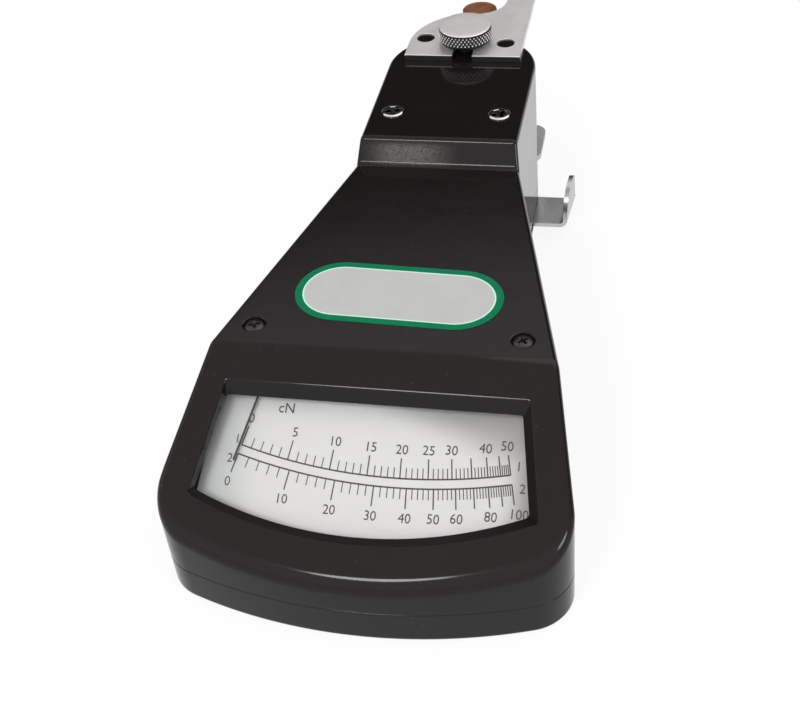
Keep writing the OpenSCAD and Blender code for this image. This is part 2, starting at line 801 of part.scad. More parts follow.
// Involute flank: half angle of a tooth at a radius
base_r = pitch_r * cos(20);
function involute(r) = let (a = acos(base_r / r)) tan(a) * 180 / PI - a;
tooth_half = (PI * tooth_m / 2 - backlash / 2) / (2 * pitch_r) * 180 / PI;
function half_angle(r) = tooth_half + involute(pitch_r) - involute(r);
teeth_pitch = 180 * tooth_m / pitch_r;
tip_radii = [for (t = [0.02, 0.35, 0.7, 1]) base_r + (pitch_r + tooth_m - base_r) * t];
root_r = pitch_r - 1.25 * tooth_m;

function tooth(a) = concat(
    [[root_r * cos(a - half_angle(tip_radii[0])), root_r * sin(a - half_angle(tip_radii[0]))]],
    [for (r = tip_radii) [r * cos(a - half_angle(r)), r * sin(a - half_angle(r))]],
    [for (i = [len(tip_radii) - 1 : -1 : 0]) let (r = tip_radii[i], b = a + half_angle(r))
        [r * cos(b), r * sin(b)]],
    [[root_r * cos(a + half_angle(tip_radii[0])), root_r * sin(a + half_angle(tip_radii[0]))]]);

module sector_gear() {
    color("#c9a35a") translate([0, pivot_y, rod_z - sector_t / 2]) rotate(180 + rest_turn) difference() {
        union() {
            linear_extrude(sector_t)
                polygon(concat([[0, 0]], [for (k = [-2 : 2]) each tooth(k * teeth_pitch)]));
            cylinder(d = hub_d, h = sector_t);
        }
        translate([0, 0, -1]) cylinder(d = shaft_d, h = sector_t + 2);
    }
}

// Pointer: hub, bent needle and balance weight, all turned to the zero mark
module at_pointer() {
    translate([0, pivot_y, 0]) rotate(rest_turn) children();
}

module pointer_hub() {
    color("#a8a8a4") at_pointer() translate([0, 0, needle_top - hub_h + needle_t]) difference() {
        cylinder(d = hub_d - 1, h = hub_h);
        translate([0, 0, -1]) cylinder(d = shaft_d, h = hub_h + 2);
        translate([-needle_root_w / 2, -hub_d, hub_h - 2 * needle_t])
            cube([needle_root_w, hub_d - shaft_d / 2 - 0.5, needle_t]);
    }
}

// The bend lies where the needle comes level with its place below the glass
needle_depth = skirt_depth + glass_t + needle_gap;
bend_r = pivot_y - (fold_y + (needle_top + needle_depth - mid_h) / tan(dial_slope));
root_out = shaft_d / 2 + 0.5;

module needle() {
    tip_z = needle_top - (tip_r - bend_r) * tan(dial_slope);
    color("#1c1a19") at_pointer() intersection() {
        profile_block([[-root_out, needle_top], [-bend_r, needle_top], [-tip_r, tip_z],
                       [-tip_r, tip_z - needle_t], [-bend_r, needle_top - needle_t],
                       [-root_out, needle_top - needle_t]], hub_d);
        linear_extrude(neck_h) polygon([[needle_root_w / 2, -root_out], [needle_tip_w / 2, -bend_r],
            [needle_tip_w / 2, -tip_r], [-needle_tip_w / 2, -tip_r], [-needle_tip_w / 2, -bend_r],
            [-needle_root_w / 2, -root_out]]);
    }
}

module balance_weight() {
    color("#c9a35a") at_pointer() along_y(0, 0, needle_top - hub_h / 2 + needle_t / 2) difference() {
        union() {
            translate([0, 0, hub_d / 2 - 1]) cylinder(d = weight_rod_d, h = weight_rod_len);
            translate([0, 0, hub_d / 2 + weight_rod_len - 2]) cylinder(d = weight_d, h = weight_h);
        }
        rotate([90, 0, 0]) cylinder(d = hub_d - 1, h = 2 * hub_d, center = true);
    }
}

// Slide: rod, crosshead, rack, roller arm and the post that the lever drives
module slide_rod() {
    color("#c4c6c8") along_y(0, cross_rear, rod_z) cylinder(d = rod_d, h = roller_y - 1 - cross_rear);
}

module crosshead() {
    arm_rear = lever_y - post_arm_back;
    color("#a3a6a8") difference() {
        union() {
            translate([cross_x0, cross_rear, rod_z - cross_h / 2])
                cube([cross_x1 - cross_x0, cross_len, cross_h]);
            translate([post_x - post_arm_w / 2, arm_rear, rod_z - cross_h / 2])
                cube([post_arm_w, cross_rear - arm_rear + eps, cross_h / 2]);
        }
        along_y(0, cross_rear - 1, rod_z) cylinder(d = rod_d, h = cross_len + 2);
        translate([post_x, lever_y, 0]) cylinder(d = post_d, h = neck_h);
    }
}

module release_post() {
    color("#c4c6c8") translate([post_x, lever_y, post_foot]) cylinder(d = post_d, h = rod_z - post_foot);
}

// Rack teeth face +X; at mid travel a gap of the rack faces the sector's middle tooth
rack_pitch = PI * tooth_m;
rack_half = rack_pitch / 4 - backlash / 4;
module rack_bar() {
    mid = pivot_y + travel / 2;
    first = ceil((rack_rear + 1.5 - mid) / rack_pitch - 0.5);
    last = floor((cross_rear - 1.5 - mid) / rack_pitch - 0.5);
    root_x = -pitch_r - 1.25 * tooth_m;
    tip_x = -pitch_r + tooth_m;
    foot_w = rack_half + (1.25 * tooth_m) * tan(20);
    tip_w = rack_half - tooth_m * tan(20);
    color("#c4c6c8") union() {
        translate([bar_x, rack_rear, rod_z - rack_h / 2]) cube([rack_w, cross_rear - rack_rear, rack_h]);
        for (k = [first : last]) let (y = mid + (k + 0.5) * rack_pitch)
            translate([0, 0, rod_z - rack_h / 2]) linear_extrude(rack_h) polygon([
                [root_x - eps, y - foot_w], [tip_x, y - tip_w],
                [tip_x, y + tip_w], [root_x - eps, y + foot_w]]);
        along_y(tail_x, tail_rear, rod_z) cylinder(d = tail_d, h = rack_rear - tail_rear + eps);
    }
}

module roller_arm() {
    base_z = rod_z - rod_d / 2 - 2;
    color("#b4b6b8") difference() {
        translate([-arm_w / 2, roller_y - arm_len / 2, base_z]) cube([arm_w, arm_len, arm_top - base_z]);
        along_y(0, cross_rear, rod_z) cylinder(d = rod_d, h = roller_y - 1 - cross_rear);
        translate([0, roller_y, arm_top - axle_in]) cylinder(d = axle_d, h = axle_in + 1);
    }
}

// The axle and its clip end below a cap that closes the roller's top
module roller_axle() {
    color("#d0d2d3") translate([0, roller_y, arm_top - axle_in])
        cylinder(d = axle_d, h = cap_floor + gap + clip_h - arm_top + axle_in);
}

module roller_clip() {
    color("#8f8f8c") translate([0, roller_y, cap_floor + gap]) ring(axle_d + 2 * clip_w, axle_d, clip_h);
}

module sensing_roller() {
    color("#96582f") difference() {
        translate([0, roller_y, roller_z0]) grooved_roller(roller_d, axle_d + 2 * run_fit);
        translate([0, roller_y, cap_floor]) cylinder(d = cap_d, h = roller_h);
    }
}

module roller_cap() {
    color("#96582f") translate([0, roller_y, roller_z1 - cap_t]) cylinder(d = cap_d, h = cap_t);
}

// Guide plate: a shoulder on the left, a long finger on the right, an open slot for the clamp screw
module guide_plate() {
    edge = plate_w / 2;
    y0 = head_y - plate_back;
    knee = [knee_r - edge, knee_y];
    bay = [0, roller_y];
    tip = circles_meet(knee, knee_r, bay, clear_r);
    finger_w = edge - clear_r;
    color("#c8c9c8") difference() {
        translate([0, 0, neck_h]) linear_extrude(plate_t) polygon(concat(
            [[-edge, y0]],
            arc(knee, knee_r, 180, atan2(tip.y - knee.y, tip.x - knee.x), 18),
            [for (i = [1 : 18]) let (a = atan2(tip.y - bay.y, tip.x - bay.x) * (1 - i / 18))
                bay + clear_r * [cos(a), sin(a)]],
            arc([edge - finger_w / 2, head_y + finger_out - finger_w / 2], finger_w / 2, 180, 0, 16),
            [[edge, y0]]));
        translate([0, knob_y, 0]) cylinder(d = thread_d + 1.2, h = neck_h + 10);
        translate([-thread_d / 2 - 0.6, y0 - 1, 0]) cube([thread_d + 1.2, knob_y - y0 + 1, neck_h + 10]);
        for (p = pegs) translate([p.x, p.y, 0]) cylinder(d = peg_d + 2 * run_fit, h = neck_h + 10);
        both_sides() translate([guide_x, guide_y, 0]) cylinder(d = axle_d, h = neck_h + axle_in_plate);
    }
}

// The left of the two places where two circles meet
function circles_meet(p, r, q, s) =
    let (d = norm(q - p), u = (q - p) / d, a = (r * r - s * s + d * d) / (2 * d))
    p + a * u + sqrt(r * r - a * a) * [-u.y, u.x];

knee_r = 23.5;
knee_y = head_y - 10.25;
axle_in_plate = 1.9;
axle_foot = roller_z0 - gap - clip_h - 0.6;

module hung_axle(x, y) {
    translate([x, y, axle_foot]) cylinder(d = axle_d, h = neck_h + axle_in_plate - axle_foot);
}

module guide_axles() {
    color("#d0d2d3") both_sides() hung_axle(guide_x, guide_y);
}

module guide_clips() {
    color("#8f8f8c") both_sides() translate([guide_x, guide_y, roller_z0 - gap - clip_h])
        ring(axle_d + 2.6, axle_d, clip_h);
}

module guide_roller(side) {
    color("#8a4b2d") translate([side * guide_x, guide_y, roller_z0])
        grooved_roller(guide_d, axle_d + 2 * run_fit);
}

module left_guide_roller() {
    guide_roller(-1);
}

module right_guide_roller() {
    guide_roller(1);
}

// Clamp screw with its captive washer and threaded insert
module screw_insert() {
    color("#2b2a29") translate([0, knob_y, neck_h - insert_len])
        ring(insert_d, thread_d + 2 * run_fit, insert_len);
}

module thumb_washer() {
    color("#3a3a3a") translate([0, knob_y, neck_h + plate_t])
        ring(washer_d, thread_d + 2 * run_fit, washer_t);
}

module thumb_screw() {
    seat = neck_h + plate_t + washer_t;
    shank = insert_len + plate_t + washer_t - 2;
    color("#cfcfcc") translate([0, knob_y, seat]) rotate_extrude() polygon([
        [0, -shank], [thread_d / 2, -shank], [thread_d / 2, 0], [collar_d / 2, 0],
        [collar_d / 2, collar_h], [knob_d / 2 - 0.6, collar_h],
        [knob_d / 2, collar_h + 0.6], [knob_d / 2, collar_h + knob_h - 0.6],
        [knob_d / 2 - 0.6, collar_h + knob_h], [0, collar_h + knob_h]]);
}

// Release lever: blade through the right wall with a turned-up tab, slotted for the drive post
module release_lever() {
    eye_r = 5.5;
    tab_in = 1.5;
    far_r = 3.5;
    near_r = 10.5;
    bend = 2 * lever_t;
    low = lever_y - lever_w / 2;
    high = lever_y + lever_w / 2;
    end = lever_reach - bend;
    far = lever_reach + 2 * bend;
    color("#c2c4c5") difference() {
        intersection() {
            translate([end, lever_y, blade_z + bend]) rotate([90, 0, -tab_turn])
                linear_extrude(4 * lever_w, center = true) polygon(concat(
                    [[-2 * far, -bend]], arc([0, 0], bend, 270, 360, 8),
                    [[bend, tab_top], [bend - lever_t, tab_top]],
                    arc([0, 0], bend - lever_t, 360, 270, 8), [[-2 * far, lever_t - bend]]));
            linear_extrude(2 * tab_top) polygon(concat(
                arc([-lever_pin_x, lever_y], eye_r, 90, 270, 16),
                [[-6, low], [0, low - 1], [far, low - 1], [far, high + 1], [0, high + 1], [-6, high]]));
            translate([-far, 0, 0]) rotate([90, 0, 90]) linear_extrude(3 * far) polygon(concat(
                [[low, 0], [high, 0], [high, blade_z + bend], [high - tab_in, blade_z + bend + tab_in]],
                arc([high - tab_in - far_r, tab_top - far_r], far_r, 0, 90, 8),
                arc([low + near_r, tab_top - near_r], near_r, 90, 180, 8)));
        }
        translate([-lever_pin_x, lever_y, 0]) cylinder(d = lever_pin_d + 2 * run_fit, h = tab_top);
        translate([post_x, lever_y, 0]) {
            translate([-1.5, -lever_slot / 2, 0]) cube([3, lever_slot, tab_top]);
            for (s = [-1.5, 1.5]) translate([s, 0, 0]) cylinder(d = lever_slot, h = tab_top);
        }
    }
}

module lever_pin() {
    color("#d0d2d3") translate([-lever_pin_x, lever_y, 1])
        cylinder(d = lever_pin_d, h = blade_z + lever_t + 2 * gap + clip_h);
}

module lever_clip() {
    color("#8f8f8c") translate([-lever_pin_x, lever_y, blade_z + lever_t + gap])
        ring(lever_pin_d + 4, lever_pin_d, clip_h);
}

upper_case();
lower_case();
dial_glass();
dial_plate();
dial_screws();
label();
neck_screws();
case_screws();
chassis_plate();
chassis_screws();
front_frame();
rear_frame();
frame_screws();
front_bush();
rear_bush();
stop_buffer();
dust_felt();
bridge_pillars();
bridge_plate();
bridge_screws();
upper_bush();
lower_bush();
spiral_spring();
spring_stud();
spring_collet();
pointer_shaft();
sector_gear();
pointer_hub();
needle();
balance_weight();
slide_rod();
crosshead();
release_post();
rack_bar();
roller_arm();
roller_axle();
roller_clip();
sensing_roller();
roller_cap();
guide_plate();
guide_axles();
guide_clips();
left_guide_roller();
right_guide_roller();
screw_insert();
thumb_washer();
thumb_screw();
release_lever();
lever_pin();
lever_clip();
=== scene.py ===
"""Looks of a hand-held yarn tension meter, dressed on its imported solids.

Shapes are worked out in millimetres in the part's own frame: X to the reader's right, Y towards the roller
head, Z up from the back. The mesh makers below turn them into metres.
"""

import math

import bmesh
import bpy
from mathutils import Matrix, Vector


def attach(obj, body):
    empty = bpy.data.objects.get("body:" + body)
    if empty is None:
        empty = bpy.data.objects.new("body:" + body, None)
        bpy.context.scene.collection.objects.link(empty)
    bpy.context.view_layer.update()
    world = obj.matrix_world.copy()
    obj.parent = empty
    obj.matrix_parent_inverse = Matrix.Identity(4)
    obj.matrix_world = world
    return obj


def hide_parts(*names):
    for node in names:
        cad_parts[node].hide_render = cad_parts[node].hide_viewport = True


MM = 0.001
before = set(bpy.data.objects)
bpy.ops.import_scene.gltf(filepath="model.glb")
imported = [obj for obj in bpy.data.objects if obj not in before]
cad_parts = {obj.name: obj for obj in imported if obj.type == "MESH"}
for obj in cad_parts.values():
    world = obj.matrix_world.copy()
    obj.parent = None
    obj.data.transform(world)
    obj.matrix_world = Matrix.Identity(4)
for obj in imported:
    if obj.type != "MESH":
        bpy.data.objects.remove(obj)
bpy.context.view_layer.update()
scene = bpy.context.scene

# Sizes shared with the solids
HEAD_Y, FRONT_Y = 114.25, -114.25
FOLD_Y, RAMP_LOW_Y, RAMP_TOP_Y = -55.75, 38.45, 43.15
NECK_Z, MID_Z, SPLIT_Z = 62.0, 54.0, 11.5
NECK_HALF, FOLD_HALF, DIAL_HALF = 26.5, 50.6, 59.5
HEAD_R, CORNER_R, FRONT_R = 22.0, 14.0, 150.0
WIDEST_Y, ARC_Y = FRONT_Y + 17.25, FRONT_Y + FRONT_R
FACE_ANGLE = math.radians(29)
SLOPE = math.tan(FACE_ANGLE)
WALL, ROOF, BACK = 2.5, 2.8, 3.0
WINDOW_TOP_Y, WINDOW_TOP_HALF, WINDOW_LOW_HALF, WINDOW_R = -65.7, 43.6, 48.8, 139.3
SKIRT, DIAL_DEPTH = 4.0, 11.2
PIVOT_Y, NEEDLE_SWING = 80.25, 28.0
NECK_SCREW = (18.35, 59.15)
CASE_SCREW = (39.4, -46.75)
LABEL_X, LABEL_Y, LABEL_TURN = 0.4, -30.05, -2.0
LABEL_REACH, LABEL_RISE, LABEL_R = 17.7, 0.05, 13.7
KNOB_Y = 104.25
PEGS = ((-15.3, KNOB_Y + 3), (14.5, KNOB_Y))
PLATE_T, PLATE_HALF, PLATE_LOW_Y = 2.4, 20.875, HEAD_Y - 19.8
KNOB_SEAT = NECK_Z + PLATE_T + 1
ROLLER_Y, ROLLER_Z, ROLLER_H, AXLE_HOLE_R = HEAD_Y + 22.75, 49.0, 12.0, 2.05
GUIDE_X, GUIDE_Y = 12.0, HEAD_Y + 4.25
ROD_Z, ROD_HOLE_R = 31.0, 3.6
DECK_Z, DECK_T, DECK_LOW_Y = 19.0, 2.0, HEAD_Y - 18.8
LEVER_Y, LEVER_HALF, LEVER_PIN_X, LEVER_SWING = 85.0, 8.5, -16.0, math.radians(14)


def face_z(y):
    """Height of the sloping dial face."""
    return MID_Z + (y - FOLD_Y) * SLOPE


# Plane geometry


def arc(centre, radius, start, end, steps):
    """Points of an arc, its angles in degrees."""
    turns = [math.radians(start + (end - start) * i / steps) for i in range(steps + 1)]
    return [(centre[0] + radius * math.cos(t), centre[1] + radius * math.sin(t)) for t in turns]


def circle(centre, radius, steps):
    return arc(centre, radius, 0, 360 - 360 / steps, steps - 1)


def meet(p, d, q, e):
    """Where two lines meet, each given by a point and a direction."""
    t = ((q[0] - p[0]) * e[1] - (q[1] - p[1]) * e[0]) / (d[0] * e[1] - d[1] * e[0])
    return (p[0] + t * d[0], p[1] + t * d[1])


def unit(x, y):
    size = math.hypot(x, y)
    return (x / size, y / size)


def beside(p, normal, distance):
    return (p[0] + normal[0] * distance, p[1] + normal[1] * distance)


def turn_to(p, q):
    """Angle in degrees of the line from one point to another."""
    return math.degrees(math.atan2(q[1] - p[1], q[0] - p[0]))


def run_to_circle(p, d, centre, radius):
    """How far it is from a point inside a circle to the circle, along a direction."""
    x, y = p[0] - centre[0], p[1] - centre[1]
    along = x * d[0] + y * d[1]
    return -along + math.sqrt(along**2 - x**2 - y**2 + radius**2)


def share(value, start, end):
    """How far a value has come from start to end, held between 0 and 1."""
    return min(1, max(0, (value - start) / (end - start)))


def mirrored(points):
    return [(-x, y) for x, y in reversed(points)]


def case_side(inset):
    """Right half of the case's plan, from the head round to the dial end, moved inwards by an inset."""
    flare = unit(FOLD_HALF - NECK_HALF, FOLD_Y - RAMP_TOP_Y)
    side = unit(DIAL_HALF - FOLD_HALF, WIDEST_Y - FOLD_Y)
    flare_in, side_in = (flare[1], -flare[0]), (side[1], -side[0])
    fold, middle = (FOLD_HALF, FOLD_Y), (0, ARC_Y)
    start = beside(fold, side_in, CORNER_R)
    corner = beside(start, side, run_to_circle(start, side, middle, FRONT_R - CORNER_R))
    side_turn, corner_turn = turn_to(side_in, (0, 0)), turn_to(middle, corner)
    neck_start = beside((NECK_HALF, RAMP_TOP_Y), flare_in, inset)
    waist = meet((NECK_HALF - inset, 0), (0, 1), neck_start, flare)
    bend = meet(beside(fold, flare_in, inset), flare, beside(fold, side_in, inset), side)
    points = arc((NECK_HALF - HEAD_R, HEAD_Y - HEAD_R), HEAD_R - inset, 90, 0, 24) + [waist, bend]
    points += arc(corner, CORNER_R - inset, side_turn, corner_turn, 16)
    return points + arc(middle, FRONT_R - inset, corner_turn, -90, 16)[1:-1]


def window_outline(top, side, low, corner_r):
    """The window in plan, anticlockwise, its edges moved outwards and its four corners rounded."""
    low_y = ARC_Y - math.sqrt(WINDOW_R**2 - WINDOW_LOW_HALF**2)
    down = unit(WINDOW_LOW_HALF - WINDOW_TOP_HALF, low_y - WINDOW_TOP_Y)
    start = beside((WINDOW_TOP_HALF, WINDOW_TOP_Y), (-down[1], down[0]), side)
    x, y = meet((0, WINDOW_TOP_Y + top), (1, 0), start, down)
    middle, radius = (0, ARC_Y), WINDOW_R + low
    low_corner = beside(start, down, run_to_circle(start, down, middle, radius))
    turn = math.degrees(math.asin(low_corner[0] / radius))
    sharp = [(x, y), (-x, y)] + arc(middle, radius, -90 - turn, -90 + turn, 40)
    nearly_straight, steps = 2.8, 6
    rounded = []
    for i, p in enumerate(sharp):
        a, b = sharp[i - 1], sharp[(i + 1) % len(sharp)]
        u, v = unit(a[0] - p[0], a[1] - p[1]), unit(b[0] - p[0], b[1] - p[1])
        bend = math.acos(max(-1, min(1, u[0] * v[0] + u[1] * v[1])))
        if bend > nearly_straight:
            rounded.append(p)
            continue
        reach = corner_r / math.tan(bend / 2)
        start, end = beside(p, u, reach), beside(p, v, reach)
        for k in range(steps + 1):
            t = k / steps
            pull = (1 - t) ** 2, 2 * t * (1 - t), t * t
            rounded.append(tuple(pull[0] * start[j] + pull[1] * p[j] + pull[2] * end[j] for j in (0, 1)))
    return rounded


# Mesh makers


def piece(name, points, faces):
    """A mesh piece from points in millimetres."""
    mesh = bpy.data.meshes.new(name)
    mesh.from_pydata([tuple(c * MM for c in p) for p in points], [], faces)
    shape = bmesh.new()
    shape.from_mesh(mesh)
    bmesh.ops.recalc_face_normals(shape, faces=shape.faces)
    shape.to_mesh(mesh)
    shape.free()
    made = bpy.data.objects.new(name, mesh)
    scene.collection.objects.link(made)
    return made


def loft(name, rings, ends=True):
    """A skin over rings of the same number of points; without ends, the last ring joins the first."""
    n, last = len(rings[0]), len(rings) - 1
    faces = []
    for a, b in [(k, k + 1) for k in range(last)] + ([] if ends else [(last, 0)]):
        faces += [(a * n + i, a * n + (i + 1) % n, b * n + (i + 1) % n, b * n + i) for i in range(n)]
    if ends:
        faces += [tuple(range(n))[::-1], tuple(range(last * n, last * n + n))]
    return piece(name, [p for ring in rings for p in ring], faces)


def prism(name, outline, z0, z1):
    return loft(name, [[(x, y, z) for x, y in outline] for z in (z0, z1)])


def turned(name, profile, centre, steps=48, bored=False):
    """A piece turned from (radius, height) points; a bored one has its profile closed on itself."""
    rings = [[(x, y, z) for x, y in circle(centre, radius, steps)] for radius, z in profile]
    return loft(name, rings, not bored)


def drill(x, y, z0, z1, radius, top_radius=None):
    """An upright tool, round and straight or widening to its top."""
    return turned("tool", [(radius, z0), (top_radius or radius, z1)], (x, y), 40)


def rod_drill(y0, y1, radius):
    """A round tool that lies along the slide rod."""
    ring = circle((0, ROD_Z), radius, 40)
    return loft("tool", [[(x, y, z) for x, z in ring] for y in (y0, y1)])


def box(x0, x1, y0, y1, z0, z1):
    return prism("tool", [(x0, y0), (x1, y0), (x1, y1), (x0, y1)], z0, z1)


def settle(made):
    """Turns a piece's modifiers into its mesh."""
    bpy.context.view_layer.update()
    old = made.data
    made.data = bpy.data.meshes.new_from_object(made.evaluated_get(bpy.context.evaluated_depsgraph_get()))
    made.modifiers.clear()
    made.data.name = made.name
    bpy.data.meshes.remove(old)


def combine(made, operation, *tools):
    """Cuts away, adds or keeps what the tools cover, and drops the tools."""
    for tool in tools:
        step = made.modifiers.new("step", "BOOLEAN")
        step.operation, step.solver, step.object = operation, "EXACT", tool
        settle(made)
        bpy.data.objects.remove(tool)


def cut(made, *tools):
    combine(made, "DIFFERENCE", *tools)


def add(made, *tools):
    combine(made, "UNION", *tools)


def round_edges(made, width, segments=3, angle=35):
    """Rounds every edge sharper than an angle."""
    step = made.modifiers.new("step", "BEVEL")
    step.width, step.segments, step.limit_method = width * MM, segments, "ANGLE"
    step.angle_limit = math.radians(angle)
    settle(made)


def round_chosen(made, widths):
    """Rounds the edges that a table of {(vertex, vertex): width} names, each by its own width."""
    widest = max(widths.values())
    weight = made.data.attributes.new("bevel_weight_edge", "FLOAT", "EDGE")
    for edge in made.data.edges:
        weight.data[edge.index].value = widths.get(tuple(sorted(edge.vertices)), 0) / widest
    step = made.modifiers.new("step", "BEVEL")
    step.width, step.segments, step.limit_method = widest * MM, 5, "WEIGHT"
    settle(made)


def fit(made, body, slot, finish, *nodes):
    """Shades a finished piece smooth, its flats held flat, and puts it on its body in place of its solids."""
    for face in made.data.polygons:
        face.use_smooth = True
    made.data.set_sharp_from_angle(angle=math.radians(32))
    made.modifiers.new("even shading", "WEIGHTED_NORMAL").keep_sharp = True
    made.data.materials.clear()
    made.data.materials.append(finish)
    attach(made, body)
    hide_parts(*nodes)


# Finishes


class Value:
    """A number or colour that changes over a surface. Arithmetic on it adds Math nodes."""

    def __init__(self, finish, socket):
        self.finish, self.socket = finish, socket

    def sum(self, operation, *others):
        return self.finish.node("ShaderNodeMath", {"operation": operation}, dict(enumerate(others)))

    def __add__(self, other):
        return self.sum("ADD", self, other)

    __radd__ = __add__

    def __sub__(self, other):
        return self.sum("SUBTRACT", self, other)

    def __rsub__(self, other):
        return self.sum("SUBTRACT", other, self)

    def __mul__(self, other):
        return self.sum("MULTIPLY", self, other)

    __rmul__ = __mul__

    def __abs__(self):
        return self.sum("ABSOLUTE", self)

    def root(self):
        return self.sum("POWER", self, 0.5)

    def over(self, other):
        """The larger of two values."""
        return self.sum("MAXIMUM", self, other)

    def wave(self):
        return self.sum("SINE", self)

    def step(self, low, high):
        """0 below low, 1 above high, smooth between; falls instead where low is the larger."""
        return self.finish.node(
            "ShaderNodeMapRange",
            {"interpolation_type": "SMOOTHSTEP"},
            {"Value": self, "From Min": min(low, high), "From Max": max(low, high),
             "To Min": float(low > high), "To Max": float(low <= high)},
        )


class Finish:
    """A procedural finish, or the light of the surroundings, built on its own node tree."""

    def __init__(self, owner):
        owner.use_nodes = True
        self.owner, self.tree = owner, owner.node_tree
        self.tree.nodes.clear()

    def node(self, kind, settings=None, sockets=None, out=0):
        """Any node: its settings are set first, then the values or links of its sockets."""
        made = self.tree.nodes.new(kind)
        for name, value in (settings or {}).items():
            setattr(made, name, value)
        for name, value in (sockets or {}).items():
            if isinstance(value, Value):
                self.tree.links.new(value.socket, made.inputs[name])
            else:
                made.inputs[name].default_value = value
        return Value(self, made.outputs[out] if made.outputs else None)

    def place(self):
        """The place on the part, in millimetres."""
        here = self.node("ShaderNodeTexCoord", out="Object")
        return self.node("ShaderNodeVectorMath", {"operation": "SCALE"}, {0: here, "Scale": 1 / MM})

    def parts(self, vector):
        return [self.node("ShaderNodeSeparateXYZ", None, {0: vector}, k) for k in range(3)]

    def stretched(self, vector, x, y, z):
        return self.node("ShaderNodeVectorMath", {"operation": "MULTIPLY"}, {0: vector, 1: (x, y, z)})

    def shifted(self, vector, x, y, z):
        return self.node("ShaderNodeVectorMath", {"operation": "ADD"}, {0: vector, 1: (x, y, z)})

    def noise(self, vector, scale, detail=3.0, roughness=0.55, distortion=0.0):
        return self.node("ShaderNodeTexNoise", None, {"Vector": vector, "Scale": scale, "Detail": detail,
                                                      "Roughness": roughness, "Distortion": distortion})

    def cells(self, vector, scale):
        return self.node("ShaderNodeTexVoronoi", None, {"Vector": vector, "Scale": scale}, "Distance")

    def mix(self, factor, a, b):
        """Colour a where the factor is 0, b where it is 1."""
        sockets = {0: factor}
        for index, colour in ((6, a), (7, b)):
            sockets[index] = colour if isinstance(colour, Value) else (*colour, 1)
        return self.node("ShaderNodeMix", {"data_type": "RGBA"}, sockets, 2)

    def bump(self, height, strength, distance):
        return self.node("ShaderNodeBump", None,
                         {"Height": height, "Strength": strength, "Distance": distance * MM})

    def shader(self, **sockets):
        names = {name.replace("_", " "): value for name, value in sockets.items()}
        return self.node("ShaderNodeBsdfPrincipled", None, names)

    def done(self, shader):
        kind = "Material" if isinstance(self.owner, bpy.types.Material) else "World"
        self.node("ShaderNodeOutput" + kind, None, {"Surface": shader})
        return self.owner


def new_finish(name):
    return Finish(bpy.data.materials.new(name))


def black_moulding():
    """Glossy black moulded case, a little wavy, with handling smears and a scuffed ramp."""
    f = new_finish("black_moulding")
    here = f.place()
    x, y, z = f.parts(here)
    smear = f.noise(here, 0.035, 4.0)
    fine = f.noise(here, 1.1, 2.0)
    streak = f.noise(f.stretched(here, 0.5, 0.06, 0.5), 1.0, 5.0, 0.7)
    on_ramp = y.step(37.5, 39.2) * y.step(42.8, 41.4) * z.step(53.5, 55.0)
    flakes = f.noise(f.stretched(here, 0.75, 1.1, 1.1), 1.0, 5.0, 0.62, 1.2)
    patchy = 0.2 + 0.8 * abs(flakes - 0.5).step(0.16, 0.02)
    rub = on_ramp * x.step(-27.0, -14.0) * x.step(9.0, -7.0) * patchy
    dust = f.cells(here, 0.33).step(0.1, 0.04) * f.noise(here, 0.06, 2.0).step(0.5, 0.62)
    worn = (rub * 0.5).over(dust * 0.16)
    tone = f.mix(smear, (0.0058, 0.0054, 0.0052), (0.0088, 0.0078, 0.0074))
    colour = f.mix(worn, tone, (0.15, 0.138, 0.134))
    gloss = (0.05 + 0.06 * smear + 0.05 * streak.step(0.5, 0.75) + 0.02 * fine).over(rub * 0.3)
    wavy = f.noise(here, 0.07, 2.0) + 0.03 * fine
    return f.done(f.shader(Base_Color=colour, Roughness=gloss, IOR=1.3, Normal=f.bump(wavy, 0.05, 1.0)))


def nickel(name, grain, gloss, shade, painted_edge_shade=False, painted_tab_shade=False):
    """Nickel plate brushed along one way, with faint stains.

    It can carry a painted dark reflection of the case with painted shade on its front edge and in its slot,
    and painted shade on a lever's upright tab.
    """
    f = new_finish(name)
    here = f.place()
    x, y, z = f.parts(here)
    lines = f.noise(f.stretched(here, *grain), 1.0, 5.0, 0.7)
    stain = f.noise(here, 0.16, 5.0, 0.65)
    specks = f.cells(here, 0.42).step(0.13, 0.05) * f.noise(here, 0.3).step(0.5, 0.6)
    dark, pale = (0.645, 0.66, 0.665), (0.785, 0.8, 0.805)
    # The shade factor scales the whole colour: painted light above 1 and painted shade below 1.
    tone = f.mix(stain, [shade * c for c in dark], [shade * c for c in pale])
    colour = f.mix(specks * 0.3, tone, (0.36, 0.35, 0.33))
    # Painted dark reflection of the case and painted shade on the plate's front edge and in its slot.
    if painted_edge_shade:
        edge_z = NECK_Z + PLATE_T - 0.15
        front = y.step(PLATE_LOW_Y + 0.5, PLATE_LOW_Y + 0.3)
        edge = front.over(abs(x).step(4.0, 3.8)) * z.step(edge_z, edge_z - 0.3)
        colour = f.mix(edge * 0.95, colour, (0.02, 0.018, 0.016))
    # Painted shade on the lever's upright tab, above its blade.
    if painted_tab_shade:
        colour = f.mix(z.step(6.5, 9.0) * 0.6, colour, (0.27, 0.27, 0.265))
    return f.done(f.shader(Base_Color=colour, Metallic=1.0, Roughness=gloss + 0.1 * stain + 0.06 * lines,
                           Normal=f.bump(lines, 0.14, 0.05)))


